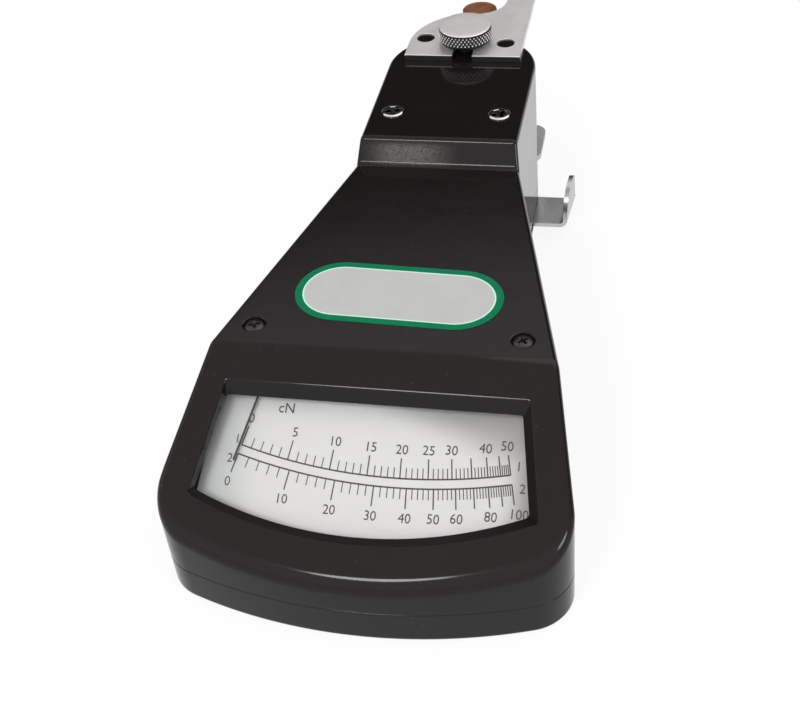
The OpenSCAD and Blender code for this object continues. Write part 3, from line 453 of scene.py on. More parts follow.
def screw_nickel():
    """Polished nickel screw head with painted shade in its cross recess."""
    f = new_finish("screw_nickel")
    here = f.place()
    x, y, z = f.parts(here)
    across, along = abs(x) - NECK_SCREW[0], y - NECK_SCREW[1]
    radius = (across * across + along * along).root()
    stain = f.noise(here, 0.5, 4.0)
    # Painted shade inside the cross recess.
    recess = radius.step(3.0, 2.8) * z.step(NECK_Z + 0.47, NECK_Z + 0.39)
    colour = f.mix(stain, (0.62, 0.615, 0.605), (0.78, 0.775, 0.765))
    colour = f.mix(recess, colour, (0.02, 0.019, 0.018))
    return f.done(f.shader(Base_Color=colour, Metallic=1.0, Roughness=0.04 + 0.06 * stain,
                           Normal=f.bump(stain, 0.04, 0.02)))


def knurled_nickel():
    """Nickel of the clamp screw: turned rings on its top, and painted shade in its knurl's grooves, on its
    lower rim and on its shank.
    """
    f = new_finish("knob_nickel")
    here = f.place()
    x, y, z = f.parts(f.shifted(here, 0.0, -KNOB_Y, -KNOB_SEAT))
    radius = (x * x + y * y).root()
    rings = (radius * 21.0 + 2.0 * f.noise(here, 0.3)).wave() * 0.5 + 0.5
    fine = f.noise(here, 3.0, 4.0)
    stain = f.noise(here, 0.16, 5.0, 0.65)
    tone = f.mix(stain, (0.73, 0.745, 0.75), (0.85, 0.865, 0.87))
    # Painted shade: in the knurl's grooves, on the lower rim under the head and on the shank seen in the
    # plate's slot.
    groove = radius.step(9.6, 9.32) * radius.step(8.6, 8.9) * z.step(5.75, 5.55)
    below = radius.step(8.0, 8.6) * z.step(1.6, 0.6)
    painted_shank_shadow = radius.step(3.4, 3.1) * z.step(0.2, -0.2)
    colour = f.mix((groove * 0.98).over(below * 0.9).over(painted_shank_shadow * 0.95), tone, (0.012, 0.011, 0.01))
    return f.done(f.shader(Base_Color=colour, Metallic=1.0, Roughness=0.42 + 0.1 * stain + 0.05 * rings,
                           Normal=f.bump(0.6 * rings + 0.4 * fine, 0.16, 0.05)))


def metal(name, dark, pale, gloss, scale=0.4):
    """A plain metal with a fine grain."""
    f = new_finish(name)
    here = f.place()
    cloud = f.noise(here, scale, 5.0, 0.65)
    fine = f.noise(here, scale * 9, 3.0)
    return f.done(f.shader(Base_Color=f.mix(cloud, dark, pale), Metallic=1.0,
                           Roughness=gloss + 0.16 * cloud + 0.05 * fine, Normal=f.bump(fine, 0.12, 0.04)))


def paint(name, dark, pale, gloss):
    """A coated or moulded finish that isn't metal."""
    f = new_finish(name)
    here = f.place()
    cloud = f.noise(here, 0.5, 4.0)
    fine = f.noise(here, 4.0, 3.0)
    return f.done(f.shader(Base_Color=f.mix(cloud, dark, pale), Roughness=gloss + 0.12 * cloud,
                           Normal=f.bump(fine, 0.15, 0.03)))


def roller_brown():
    """Polished brown moulding with darker swirls."""
    f = new_finish("roller_brown")
    here = f.place()
    swirl = f.noise(f.stretched(here, 1.0, 1.0, 0.45), 0.35, 6.0, 0.7)
    fine = f.noise(here, 2.2, 3.0)
    colour = f.mix(swirl.step(0.3, 0.7), (0.12, 0.05, 0.026), (0.21, 0.092, 0.05))
    return f.done(f.shader(Base_Color=colour, Roughness=0.16 + 0.12 * fine, Normal=f.bump(fine, 0.1, 0.03)))


def dial_enamel():
    """Pale enamel of the scale plate, a little uneven, with a painted teal-grey shade along its left edge and
    a painted shadow of the window walls at its upper right.
    """
    f = new_finish("dial_enamel")
    here = f.place()
    x, y, _ = f.parts(here)
    cloud = f.noise(here, 0.03, 3.0)
    fine = f.noise(here, 1.5, 3.0)
    colour = f.mix(cloud, (0.81, 0.83, 0.83), (0.87, 0.885, 0.885))
    colour = f.mix(fine.step(0.4, 0.75) * 0.1, colour, (0.68, 0.7, 0.7))
    # Painted shade: teal-grey along the left edge, under the window's left wall.
    colour = f.mix(x.step(-32.0, -43.0) * 0.6, colour, (0.56, 0.64, 0.64))
    # Painted shadow of the window's right and top walls over the upper right of the dial.
    painted_wall_shadow = x.step(36.5, 45.0).over((x * 0.35 + y).step(-66.0, -54.0))
    colour = f.mix(painted_wall_shadow * 0.75, colour, (0.33, 0.33, 0.325))
    return f.done(f.shader(Base_Color=colour, Roughness=0.45 + 0.1 * cloud, Normal=f.bump(fine, 0.06, 0.02)))


def label_film():
    """Printed film: a green border, a thin pale mint line and a blank pale grey middle."""
    f = new_finish("label_film")
    here = f.place()
    flat = f.node("ShaderNodeVectorRotate", {"rotation_type": "Z_AXIS"},
                  {"Vector": f.shifted(here, -LABEL_X, -LABEL_Y, 0.0), "Angle": math.radians(-LABEL_TURN)})
    x, y, _ = f.parts(flat)
    across, along = (abs(x) - LABEL_REACH).over(0.0), (abs(y) - LABEL_RISE).over(0.0)
    from_edge = LABEL_R - (across * across + along * along).root()
    smudge = f.noise(here, 0.12, 5.0, 0.65)
    fine = f.noise(here, 1.6, 3.0)
    green = f.mix(smudge, (0.0, 0.12, 0.052), (0.002, 0.16, 0.072))
    middle = f.mix(smudge, (0.37, 0.395, 0.395), (0.44, 0.465, 0.465))
    colour = f.mix(from_edge.step(2.2, 2.35), green, (0.45, 0.76, 0.62))
    colour = f.mix(from_edge.step(2.65, 2.85), colour, middle)
    colour = f.mix(fine.step(0.55, 0.8) * 0.12, colour, (0.4, 0.39, 0.39))
    return f.done(f.shader(Base_Color=colour, Roughness=0.3 + 0.15 * smudge, IOR=1.2,
                           Normal=f.bump(fine, 0.1, 0.02)))


def clear_pane():
    """Clear flat glass: see-through, with a mirror's sheen that grows at a slant."""
    f = new_finish("clear_pane")
    here = f.place()
    through = f.node("ShaderNodeBsdfTransparent", None, {"Color": (0.99, 0.995, 0.993, 1)})
    mirror = f.node("ShaderNodeBsdfGlossy", None, {"Roughness": 0.03})
    haze = f.noise(here, 0.05, 3.0).step(0.35, 0.75)
    sheen = f.node("ShaderNodeFresnel", None, {"IOR": 1.45}) + 0.012 * haze
    return f.done(f.node("ShaderNodeMixShader", None, {0: sheen, 1: through, 2: mirror}))


def felt():
    """Pale pressed felt with visible fibres."""
    f = new_finish("pressed_felt")
    here = f.place()
    fibre = f.noise(f.stretched(here, 3.0, 1.0, 2.0), 1.0, 6.0, 0.8)
    return f.done(f.shader(Base_Color=f.mix(fibre, (0.5, 0.46, 0.36), (0.74, 0.7, 0.58)), Roughness=0.9,
                           Normal=f.bump(fibre, 0.6, 0.2)))


case_finish = black_moulding()
# Painted light on the plate's nickel and painted shade on the lever's: one nickel made lighter and darker.
plate_nickel = nickel("plate_nickel", (0.12, 1.6, 1.6), 0.4, 1.12, painted_edge_shade=True)
lever_nickel = nickel("lever_nickel", (1.4, 0.15, 1.4), 0.14, 0.7, painted_tab_shade=True)
knob_nickel = knurled_nickel()
head_nickel = screw_nickel()
zinc = metal("zinc_plate", (0.46, 0.46, 0.455), (0.6, 0.6, 0.595), 0.32)
casting = metal("grey_casting", (0.4, 0.41, 0.42), (0.56, 0.57, 0.58), 0.42, 0.7)
bright_steel = metal("bright_steel", (0.6, 0.61, 0.62), (0.74, 0.75, 0.76), 0.18)
brass = metal("turned_brass", (0.6, 0.42, 0.17), (0.78, 0.58, 0.28), 0.25)
blued = metal("blued_strip", (0.06, 0.1, 0.24), (0.13, 0.2, 0.4), 0.25)
blackened = paint("blackened_steel", (0.006, 0.0058, 0.0055), (0.016, 0.0155, 0.015), 0.22)
ink = paint("scale_ink", (0.012, 0.012, 0.013), (0.022, 0.022, 0.023), 0.5)
rubber = paint("buffer_rubber", (0.02, 0.02, 0.02), (0.035, 0.035, 0.035), 0.65)
brown = roller_brown()
enamel = dial_enamel()
film = label_film()
pane = clear_pane()
pad = felt()


# Case

SEAM_R = 0.35


def roofed_block(name, inset, z0, dy=0.0, dz=0.0):
    """The case's block up to its folded roof; also returns the rims and folds of the roof for rounding."""
    roof = [(FRONT_Y - 20, face_z(FRONT_Y - 20)), (FOLD_Y, MID_Z), (RAMP_LOW_Y, MID_Z), (RAMP_TOP_Y, NECK_Z),
            (HEAD_Y + 20, NECK_Z)]
    roof = [(y + dy, z + dz) for y, z in roof]

    def height(y):
        for (low_y, low_z), (high_y, high_z) in zip(roof, roof[1:]):
            if y <= high_y:
                return low_z + (high_z - low_z) * (y - low_y) / (high_y - low_y)
        return roof[-1][1]

    folds = [y for y, _ in roof[1:-1]]
    side = []
    outline = case_side(inset)
    for a, b in zip(outline, outline[1:] + [None]):
        side.append(a)
        if b:
            crossed = [y for y in folds if min(a[1], b[1]) + 1e-4 < y < max(a[1], b[1]) - 1e-4]
            for y in sorted(crossed, reverse=True):
                t = (y - a[1]) / (b[1] - a[1])
                side.append((a[0] + t * (b[0] - a[0]), y))
    half, ring = len(side), side + mirrored(side)
    n = len(ring)
    points = [(x, y, z0) for x, y in ring] + [(x, y, height(y)) for x, y in ring]
    faces = [(i, (i + 1) % n, n + (i + 1) % n, n + i) for i in range(n)] + [tuple(range(n))[::-1]]
    breaks = [HEAD_Y + 1] + sorted(folds, reverse=True) + [FRONT_Y - 1]
    crossings = {}
    for high, low in zip(breaks, breaks[1:]):
        run = [i for i in range(half) if low - 1e-3 <= side[i][1] <= high + 1e-3]
        faces.append(tuple(n + i for i in run) + tuple(n + n - 1 - i for i in reversed(run)))
        crossings[low] = (n + run[-1], n + n - 1 - run[-1])
    rims = [tuple(sorted((n + i, n + (i + 1) % n))) for i in range(n)]
    feet = [tuple(sorted((i, (i + 1) % n))) for i in range(n)]
    return piece(name, points, faces), points, rims, feet, crossings


def window_skirt():
    """Rim below the dial face that the window is cut through, with upright sides."""
    margin, corner_r = 2.0, 2.5
    outline = window_outline(margin, margin, margin, corner_r)
    return loft("tool", [[(x, y, face_z(y) - depth) for x, y in outline] for depth in (SKIRT, ROOF / 2)])


def window_cut():
    """The window's opening: a rounded lip, and walls whose foot lies inwards and a little to the left."""
    lip, corner_r, foot, foot_shift = 0.7, 1.2, (-1.0, -1.0, -3.7), -1.1
    rings = [((lip, lip, lip), 0.0, depth) for depth in (-6.0, -0.01)]
    for k in range(1, 7):
        a = math.radians(15 * k)
        rings.append(((lip * (1 - math.sin(a)),) * 3, 0.0, lip * (1 - math.cos(a))))
    rings += [(foot, foot_shift, depth) for depth in (SKIRT, 14.0)]
    return loft("tool", [[(x + shift, y, face_z(y) - depth) for x, y in window_outline(*out, corner_r)]
                         for out, shift, depth in rings])


def upper_case():
    """Case top: dial face with its window, middle panel, ramp and neck, hollow from below."""
    shell, points, rims, feet, crossings = roofed_block("case_upper", 0.0, SPLIT_Z)
    rim_r, face_more, front_more = 2.0, 1.0, 1.6
    widths = {edge: SEAM_R for edge in feet}
    for edge in rims:
        y = (points[edge[0]][1] + points[edge[1]][1]) / 2
        widths[edge] = rim_r + face_more * share(y, -60, -90) + front_more * share(y, -96, -106)
    for y, width in ((RAMP_TOP_Y, 1.3), (RAMP_LOW_Y, 1.6), (FOLD_Y, 2.4)):
        widths[tuple(sorted(crossings[y]))] = width
    round_chosen(shell, widths)
    cut(shell, roofed_block("tool", WALL, SPLIT_Z - 1, (RAMP_TOP_Y - RAMP_LOW_Y) / 4, -ROOF)[0])
    boss_r, boss_depth, insert_r, insert_depth = 6.5, 14, 4.5, 12
    add(shell, window_skirt(), drill(0, KNOB_Y, NECK_Z - boss_depth, NECK_Z - 1, boss_r))
    cut(shell, window_cut())
    well = [(1.5, -6), (1.5, -2), (3.15, -2), (3.15, -0.45), (3.25, -0.2), (3.5, -0.06), (3.9, 0.02),
            (3.9, 1)]
    for s in (-1, 1):
        x, y = s * NECK_SCREW[0], NECK_SCREW[1]
        cut(shell, drill(x, y, NECK_Z - 6, NECK_Z + 1, 2.0))
        cut(shell, drill(x, y, NECK_Z - 1.8, NECK_Z + 0.05, 2.0, 3.85))
        cut(shell, turned("tool", [(r, MID_Z + z) for r, z in well], (s * CASE_SCREW[0], CASE_SCREW[1])))
    for place in PEGS:
        peg = [(3.2, NECK_Z - 1), (3.2, NECK_Z + 1.6), (3.08, NECK_Z + 1.88), (2.8, NECK_Z + 2)]
        add(shell, turned("tool", peg, place))
    past = 60
    cut(shell, drill(0, KNOB_Y, NECK_Z - insert_depth, NECK_Z + 1, insert_r))
    cut(shell, box(-past, past, DECK_LOW_Y, HEAD_Y + past, DECK_Z, DECK_Z + DECK_T))
    cut(shell, rod_drill(HEAD_Y - 8, HEAD_Y + 8, ROD_HOLE_R))
    fit(shell, "case", "black_moulding", case_finish, "upper_case")


def lower_case():
    """Case back: a tray with a lip that fits the upper case, inner posts and a gap for the lever."""
    ring = case_side(0.0)
    ring = ring + mirrored(ring)
    n = len(ring)
    shell = prism("case_lower", ring, 0.0, SPLIT_Z)
    foot_r, lip_play, lip_h, lip_in = 1.8, 0.15, 2.5, 4.0
    widths = {tuple(sorted((i, (i + 1) % n))): foot_r for i in range(n)}
    widths.update({tuple(sorted((n + i, n + (i + 1) % n))): SEAM_R for i in range(n)})
    round_chosen(shell, widths)
    for inset, top, step in ((WALL + lip_play, SPLIT_Z + lip_h, add), (lip_in, SPLIT_Z + 4, cut)):
        ring = case_side(inset)
        step(shell, prism("tool", ring + mirrored(ring), BACK, top))
    root, case_post_r, deck_post_r, dial_post_r, dial_seat = BACK - 0.5, 4.0, 3.5, 3.0, DIAL_DEPTH + 1.1
    deck_posts = [(16.5, HEAD_Y - 13.25), (16.5, NECK_SCREW[1] - 11)]
    dial_posts = [(WINDOW_TOP_HALF, FOLD_Y - 4.3), (WINDOW_LOW_HALF - 12.7, FRONT_Y + 13)]
    for s in (-1, 1):
        add(shell, drill(s * CASE_SCREW[0], CASE_SCREW[1], root, MID_Z - ROOF, case_post_r))
        for x, y in deck_posts:
            add(shell, drill(s * x, y, root, DECK_Z, deck_post_r))
        for x, y in dial_posts:
            post = circle((s * x, y), dial_post_r, 24)
            add(shell, loft("tool", [[(a, b, root) for a, b in post],
                                     [(a, b, face_z(b) - dial_seat) for a, b in post]]))
    add(shell, drill(LEVER_PIN_X, LEVER_Y, root, BACK + 0.9, 4.0))
    blade_reach = (NECK_HALF - LEVER_PIN_X) * math.tan(LEVER_SWING) + LEVER_HALF / math.cos(LEVER_SWING)
    cut(shell, box(0, 40, LEVER_Y - blade_reach - 0.6, LEVER_Y + LEVER_HALF + 0.3, 3.4, 6.2))
    fit(shell, "case", "black_moulding", case_finish, "lower_case")


# Screws, roller head and lever

SIDES = {-1: "left", 1: "right"}


def cross_cut(x, y, top, size, depth, turn, breadth=1.0):
    """The two crossed blades that leave a cross recess."""
    tools = []
    for k in (0, 90):
        a = math.radians(turn + k)
        u, v = (math.cos(a), math.sin(a)), (-math.sin(a), math.cos(a))
        rings = []
        for z, reach, half in ((top - depth, size * 0.2, size * 0.07 * breadth),
                               (top + 1.5, size * 0.56, size * 0.13 * breadth)):
            corners = [beside(beside((x, y), u, p * reach), v, q * half)
                       for p, q in ((-1, -1), (1, -1), (1, 1), (-1, 1))]
            rings.append([(*corner, z) for corner in corners])
        tools.append(loft("tool", rings))
    return tools


def neck_screws():
    """Two nickel screws with low raised heads, each turned its own way."""
    dome = [(2.0, -16), (2.0, -1.8), (3.72, -0.05), (3.8, 0.08), (3.8, 0.14), (3.76, 0.3), (3.62, 0.42),
            (3.4, 0.485), (2.9, 0.515), (1.5, 0.54), (0.05, 0.55)]
    for s, turn in ((-1, 12), (1, 33)):
        x, y = s * NECK_SCREW[0], NECK_SCREW[1]
        head = turned("neck_screw_" + SIDES[s], [(r, NECK_Z + z) for r, z in dome], (x, y), 56)
        cut(head, *cross_cut(x, y, NECK_Z + 0.5, 6.4, 1.7, turn, 1.3))
        round_edges(head, 0.1, 1, 42)
        fit(head, "case", "nickel", head_nickel, "neck_screws")


def case_screws():
    """Two black pan-head screws sunk in their wells, each turned its own way."""
    base = MID_Z - 2
    pan = [(1.5, -14), (1.5, 0), (3.0, 0), (3.0, 0.9), (2.85, 1.35), (2.4, 1.65), (1.5, 1.78), (0.05, 1.8)]
    for s, turn in ((-1, 20), (1, 40)):
        x, y = s * CASE_SCREW[0], CASE_SCREW[1]
        head = turned("case_screw_" + SIDES[s], [(r, base + z) for r, z in pan], (x, y))
        cut(head, *cross_cut(x, y, base + 1.7, 4.4, 1.4, turn))
        fit(head, "case", "black_steel", blackened, "case_screws")


def plate_outline():
    """Guide plate in plan: left shoulder, round bay for the sensing roller and long right finger."""
    shoulder_r, bay_r = 23.5, 10.7
    knee, bay = (shoulder_r - PLATE_HALF, HEAD_Y - 10.25), (0.0, ROLLER_Y)
    apart = math.hypot(bay[0] - knee[0], bay[1] - knee[1])
    u = unit(bay[0] - knee[0], bay[1] - knee[1])
    along = (shoulder_r**2 - bay_r**2 + apart**2) / (2 * apart)
    tip = beside(beside(knee, u, along), (-u[1], u[0]), math.sqrt(shoulder_r**2 - along**2))
    points = [(-PLATE_HALF, PLATE_LOW_Y)] + arc(knee, shoulder_r, 180, turn_to(knee, tip), 30)
    points += arc(bay, bay_r, turn_to(bay, tip), 0, 30)[1:]
    half = (PLATE_HALF - bay_r) / 2
    points += arc((PLATE_HALF - half, HEAD_Y + 46 - half), half, 180, 0, 24)
    return points + [(PLATE_HALF, PLATE_LOW_Y)]


def guide_plate():
    """Flat plate over the rollers, slotted for the clamp screw and drilled for its pegs and the axles."""
    plate = prism("guide_plate_dressed", plate_outline(), NECK_Z, NECK_Z + PLATE_T)
    z0, z1, slot_half = NECK_Z - 1, NECK_Z + 5, 3.6
    cut(plate, drill(0, KNOB_Y, z0, z1, slot_half), box(-slot_half, slot_half, HEAD_Y - 25, KNOB_Y, z0, z1))
    for s, place in zip((-1, 1), PEGS):
        cut(plate, drill(*place, z0, z1, 3.25), drill(s * GUIDE_X, GUIDE_Y, z0, NECK_Z + 1.9, 2.0))
    round_edges(plate, 0.25)
    fit(plate, "case", "nickel", plate_nickel, "guide_plate")


def ramp_wave(u):
    """A wave of straight ramps between 0 and 1."""
    return 1 - abs(2 * (u - math.floor(u)) - 1)


def thumb_screw():
    """Clamp screw with a diamond-knurled head."""
    teeth, lead, rows, head_r, groove, flat_top = 44, 1.9, 32, 9.62, 0.45, 0.8
    steps = teeth * 8

    def turned_rings(*profile):
        return [[(x, y, KNOB_SEAT + z) for x, y in circle((0, KNOB_Y), r, steps)] for r, z in profile]

    rings = turned_rings((2.3, -13.4), (3.0, -12.7), (3.0, 0), (6.0, 0), (6.0, 0.5), (8.8, 0.5), (9.1, 0.62))
    low, high = KNOB_SEAT + 0.9, KNOB_SEAT + 5.55
    for k in range(rows + 1):
        z = low + (high - low) * k / rows
        fade = min(1, 6 * min(k, rows - k) / rows)
        rings.append([])
        for i in range(steps):
            u = teeth * i / steps
            peak = min(ramp_wave(u + z / lead), ramp_wave(u - z / lead), flat_top) / flat_top
            radius = head_r - groove * (1 - peak * fade)
            a = 2 * math.pi * i / steps
            rings[-1].append((radius * math.cos(a), KNOB_Y + radius * math.sin(a), z))
    rings += turned_rings((9.3, 5.72), (9.28, 5.92), (9.12, 6.04), (8.9, 6.07), (7.2, 6.085), (4.0, 6.095),
                          (0.1, 6.1))
    knob = loft("knurled_clamp_screw", rings)
    fit(knob, "clamp_screw", "nickel", knob_nickel, "thumb_screw")


def roller(name, body, x, y, diameter, capped, *nodes):
    """Grooved roller with softened lips; a capped one has a closed, slightly domed top over its clip."""
    r, h, groove = diameter / 2, ROLLER_H, 1.2
    lip = h * 0.16
    half = [(r - 0.55, 0.0), (r - 0.22, 0.1), (r - 0.04, 0.3), (r, 0.6), (r, lip - 0.3),
            (r - 0.06, lip + 0.1), (r - groove + 0.14, h / 2 - 1.2), (r - groove + 0.02, h / 2 - 0.6)]
    profile = [(AXLE_HOLE_R, 0.0)] + half + [(radius, h - z) for radius, z in reversed(half[2:])]
    if capped:
        profile += [(r - 0.3, h - 0.62), (r - 0.9, h - 0.4), (r - 2, h - 0.22), (r - 4, h - 0.06), (0.05, h),
                    (0.05, h - 1), (4.2, h - 1), (4.2, h - 2.4), (AXLE_HOLE_R, h - 2.4)]
    else:
        profile += [(radius, h - z) for radius, z in reversed(half[:2])] + [(AXLE_HOLE_R, h)]
    made = turned(name, [(radius, ROLLER_Z + z) for radius, z in profile], (x, y), 64, True)
    fit(made, body, "brown_moulding", brown, *nodes)


def roller_arm():
    """Upright block that carries the sensing roller on the end of the slide rod, its edges softened."""
    half_x, half_y, low, top = 4.5, 6.0, 26.0, 48.7
    outline = [(p * half_x, ROLLER_Y + q * half_y) for p, q in ((-1, -1), (1, -1), (1, 1), (-1, 1))]
    arm = prism("roller_arm_dressed", outline, low, top)
    round_edges(arm, 0.8, 4)
    cut(arm, rod_drill(ROLLER_Y - 10, ROLLER_Y - 1, 3.0), drill(0, ROLLER_Y, top - 8, top + 1, 2.0))
    fit(arm, "slide", "grey_casting", casting, "roller_arm")


def release_lever():
    """Blade through the right wall, bent up into a finger tab that stands a little askew."""
    t, reach, z0, top, turn = 1.6, 40.0, 4.0, 18.6, math.radians(5)
    low, high, bend = LEVER_Y - LEVER_HALF, LEVER_Y + LEVER_HALF, 2 * t
    side = [(-70.0, -bend)] + arc((0, 0), bend, 270, 360, 12) + [(bend, 20.0), (bend - t, 20.0)]
    side += arc((0, 0), bend - t, 360, 270, 12) + [(-70.0, t - bend)]
    rings = []
    for y in (low - 3, high + 3):
        shift = reach - bend + (y - LEVER_Y) * math.tan(turn)
        rings.append([(shift + x / math.cos(turn), y, z0 + bend + z) for x, z in side])
    blade = loft("finger_lever", rings)
    plan = arc((LEVER_PIN_X, LEVER_Y), 5.5, 90, 270, 20)
    plan += [(-6, low), (0, low - 1), (50, low - 1), (50, high + 1), (0, high + 1), (-6, high)]
    chamfer, far_r, near_r = 1.5, 3.5, 10.5
    tab = [(low, 0.0), (high, 0.0), (high, z0 + bend), (high - chamfer, z0 + bend + chamfer)]
    tab += arc((high - chamfer - far_r, top - far_r), far_r, 0, 90, 10)
    tab += arc((low + near_r, top - near_r), near_r, 90, 180, 20)
    combine(blade, "INTERSECT", prism("tool", plan, 0, 30),
            loft("tool", [[(x, y, z) for y, z in tab] for x in (-40, 60)]))
    slot_x, slot_half, slot_r = 8, 1.5, 2.3
    slot = arc((slot_x + slot_half, LEVER_Y), slot_r, -90, 90, 12)
    slot += arc((slot_x - slot_half, LEVER_Y), slot_r, 90, 270, 12)
    cut(blade, drill(LEVER_PIN_X, LEVER_Y, 0, 10, 2.05), prism("tool", slot, 0, 10))
    round_edges(blade, 0.28)
    fit(blade, "lever", "nickel", lever_nickel, "release_lever")


# Printed scale

SCALE_CENTRE = (5.5, 104.7)
PRINT_LOW, PRINT_TOP = 0.005, 0.05


def on_dial(x, y, lift):
    return (x, y, face_z(y) - DIAL_DEPTH + lift)


def on_scale(radius, turn, beyond=0.0):
    """A place on the line from the pointer's shaft at an angle, at or beyond a printed arc of the scale."""
    a = math.radians(turn)
    shaft, ahead = (0, PIVOT_Y), (math.sin(a), -math.cos(a))
    return beside(shaft, ahead, run_to_circle(shaft, ahead, SCALE_CENTRE, radius) + beyond)


def needle_turn(share_of_scale):
    return NEEDLE_SWING * (share_of_scale - 0.5)


def reading(part, spread, droop):
    """Angle of a reading, as a part of the full scale: the scale closes up towards its end."""
    return needle_turn(part * (1 + (spread - droop * part) * (1 - part)))


def stroke(points, width):
    """A printed line as a thin closed strip: its corner points and faces."""
    left, right = [], []
    for i, p in enumerate(points):
        a, b = points[max(i - 1, 0)], points[min(i + 1, len(points) - 1)]
        u = unit(b[0] - a[0], b[1] - a[1])
        left.append(beside(p, (-u[1], u[0]), width / 2))
        right.append(beside(p, (u[1], -u[0]), width / 2))
    n = len(points)
    corners = [on_dial(x, y, lift) for lift in (PRINT_LOW, PRINT_TOP) for x, y in left + right]
    loop = list(range(n)) + list(range(2 * n - 1, n - 1, -1))
    faces = []
    for a in range(n - 1):
        for base, flip in ((0, 1), (2 * n, -1)):
            faces.append((base + a, base + a + 1, base + n + a + 1, base + n + a)[::flip])
    for i, a in enumerate(loop):
        b = loop[(i + 1) % len(loop)]
        faces.append((a, b, 2 * n + b, 2 * n + a))
    return corners, faces


def lettered(word, x, y, height, narrow=0.92):
    """A word printed on the dial, centred on a place: its corner points and faces."""
    curve = bpy.data.curves.new("lettering", "FONT")
    curve.body, curve.size, curve.align_x, curve.align_y = word, 1.0, "CENTER", "CENTER"
    curve.extrude, curve.resolution_u, curve.offset = 0.01, 3, 0.001
    text = bpy.data.objects.new("lettering", curve)
    scene.collection.objects.link(text)
    bpy.context.view_layer.update()
    mesh = bpy.data.meshes.new_from_object(text.evaluated_get(bpy.context.evaluated_depsgraph_get()))
    figure_height = 0.69
    scale = height / figure_height
    points = [on_dial(x + v.co.x * scale * narrow, y + v.co.y * scale * math.cos(FACE_ANGLE),
                      PRINT_TOP if v.co.z > 0 else PRINT_LOW) for v in mesh.vertices]
    faces = [tuple(f.vertices) for f in mesh.polygons]
    bpy.data.objects.remove(text)
    bpy.data.curves.remove(curve)
    bpy.data.meshes.remove(mesh)
    return points, faces


def dial_print():
    """The two printed scales back to back, their numbers and range marks, and the unit."""
    line_w, full, steps = 0.38, 50, 60
    long_mark, short_mark = (5.1, 0.37), (2.7, 0.28)
    upper, lower = (184.97, (0.98, 0.28), -1, 1, 7.2, 0.0), (187.38, (1.21, 0.58), 1, 2, 7.55, 0.9)
    strips = []
    for radius, law, way, times, number_out, last_over in (upper, lower):
        strips.append(stroke([on_scale(radius, needle_turn(i / steps)) for i in range(steps + 1)], line_w))
        for k in range(full + 1):
            turn = reading(k / full, *law)
            length, width = short_mark if k % 5 else long_mark
            strips.append(stroke([on_scale(radius, turn), on_scale(radius, turn, way * length)], width))
        for value in (0, 5, 10, 15, 20, 25, 30, 40, full):
            x, y = on_scale(radius, reading(value / full, *law), way * number_out)
            strips.append(lettered(str(times * value), x + (last_over if value == full else 0), y, 2.75))
    for word, x, y in (("1", -40.2, -73.5), ("2", -41.5, -78.6), ("1", 41.3, -75.0), ("2", 42.9, -80.5)):
        strips.append(lettered(word, x, y, 2.6))
    strips.append(lettered("cN", -27.0, -64.6, 3.0, 0.95))
    points, faces = [], []
    for corners, sides in strips:
        faces += [tuple(len(points) + i for i in side) for side in sides]
        points += corners
    made = piece("dial_scale_print", points, faces)
    made.data.materials.append(ink)
    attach(made, "case")


upper_case()
lower_case()
neck_screws()
case_screws()
guide_plate()
thumb_screw()
roller_arm()
release_lever()
roller("sensing_roller_dressed", "sensing_roller", 0, ROLLER_Y, 13, True, "sensing_roller", "roller_cap")
roller("left_guide_dressed", "left_guide", -GUIDE_X, GUIDE_Y, 9, False, "left_guide_roller")
roller("right_guide_dressed", "right_guide", GUIDE_X, GUIDE_Y, 9, False, "right_guide_roller")
dial_print()

# Solids that stay as they are, each with its finish
kept = {
    pane: ["dial_glass"],
    enamel: ["dial_plate"],
    film: ["label"],
    zinc: ["dial_screws", "chassis_plate", "chassis_screws", "frame_screws", "bridge_screws", "roller_clip",
           "guide_clips", "lever_clip"],
    blackened: ["needle", "thumb_washer", "screw_insert"],
    casting: ["front_frame", "rear_frame", "crosshead", "pointer_hub"],
    bright_steel: ["slide_rod", "rack_bar", "release_post", "roller_axle", "guide_axles", "pointer_shaft",
                   "lever_pin"],
    brass: ["front_bush", "rear_bush", "bridge_pillars", "bridge_plate", "upper_bush", "lower_bush",
            "spring_stud", "spring_collet", "sector_gear", "balance_weight"],
    blued: ["spiral_spring"],
    rubber: ["stop_buffer"],
    pad: ["dust_felt"],
}
for finish, names in kept.items():
    for name in names:
        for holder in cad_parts[name].material_slots:
            holder.material = finish

# Floor, surroundings, lamps and camera


def floor():
    """Wide pale floor that looks white and still takes a soft shadow."""
    f = new_finish("pale_floor")
    sight = f.node("ShaderNodeLightPath", out="Is Camera Ray")
    for ray in ("Is Glossy Ray", "Is Transmission Ray"):
        sight = sight.over(f.node("ShaderNodeLightPath", out=ray))
    matt = f.node("ShaderNodeBsdfDiffuse", None, {"Color": (0.9, 0.9, 0.9, 1)})
    glow = f.node("ShaderNodeEmission", None, {"Strength": 1.0})
    half, level = 4000, -0.3
    corners = [(p * half, q * half, level) for p, q in ((-1, -1), (1, -1), (1, 1), (-1, 1))]
    ground = piece("pale_floor", corners, [(0, 1, 2, 3)])
    mixed = f.node("ShaderNodeMixShader", None, {0: sight * 0.87, 1: matt, 2: glow})
    ground.data.materials.append(f.done(mixed))


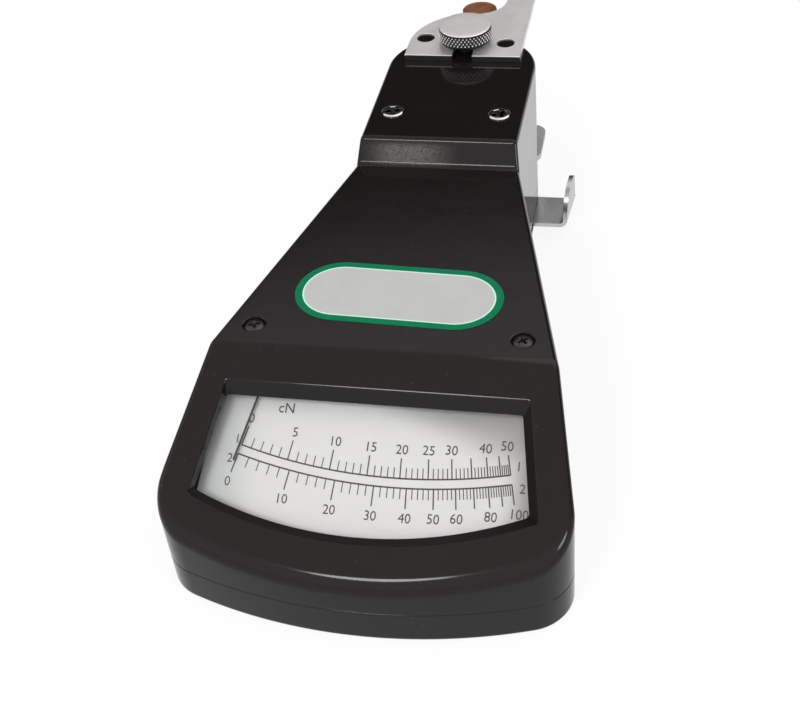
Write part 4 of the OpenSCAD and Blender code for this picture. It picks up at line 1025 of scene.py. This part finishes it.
def surroundings():
    """Light of the room: bright in front of the dial, warm overhead, dim low down behind the head."""
    f = Finish(bpy.data.worlds.new("studio"))
    _, away, up = f.parts(f.node("ShaderNodeTexCoord", out="Generated"))
    warm = (0.95, 0.8, 0.76)
    front = f.mix(away.step(-0.75, -0.05), (1.25, 1.23, 1.22), warm)
    behind = f.mix(up.step(0.62, 0.95), (1.1, 1.08, 1.07), warm)
    behind = f.mix(up.step(0.67, 0.54), behind, (0.025, 0.025, 0.025))
    glow = f.mix(away.step(0.0, 0.3), front, behind)
    glow = f.mix(up.step(0.16, 0.0), glow, (0.9, 0.9, 0.9))
    scene.world = f.done(f.node("ShaderNodeBackground", None, {"Color": glow, "Strength": 1.0}))


def lamp(name, place, aim, size, power):
    light = bpy.data.lights.new(name, "AREA")
    light.shape, light.size, light.energy = "DISK", size, power
    made = bpy.data.objects.new(name, light)
    made.location = place
    made.rotation_euler = (Vector(aim) - Vector(place)).to_track_quat("-Z", "Y").to_euler()
    scene.collection.objects.link(made)


def camera():
    """The photograph's camera, as fitted to the straight edges and folds of the case."""
    place, yaw, pitch, roll = (0.081057, -0.331477, 0.299400), -0.268, 0.715, -0.113
    ahead = Vector((math.sin(yaw) * math.cos(pitch), math.cos(yaw) * math.cos(pitch), -math.sin(pitch)))
    level = Vector((math.cos(yaw), -math.sin(yaw), 0))
    steep = level.cross(ahead)
    right = level * math.cos(roll) + steep * math.sin(roll)
    up = steep * math.cos(roll) - level * math.sin(roll)
    view = bpy.data.cameras.new("camera")
    view.lens, view.sensor_width, view.shift_x = 60.49, 36.0, 0.0015
    view.clip_start, view.clip_end = 0.01, 50.0
    made = bpy.data.objects.new("camera", view)
    turn = Matrix((right, up, -ahead)).transposed().to_4x4()
    made.matrix_world = Matrix.Translation(place) @ turn
    scene.collection.objects.link(made)
    scene.camera = made


floor()
surroundings()
lamp("soft_right", (0.8, -0.6, 0.55), (0, 0, 0.03), 0.3, 2.5)
lamp("soft_left", (-0.85, 0.1, 0.7), (0, 0, 0.03), 0.8, 0.8)
lamp("soft_top", (0.3, 0.45, 0.95), (0, 0.06, 0.05), 0.9, 1.8)
lamp("soft_front", (-0.2, -0.85, 0.9), (0, -0.08, 0.03), 0.3, 4.5)
camera()
scene.view_settings.view_transform = "Standard"
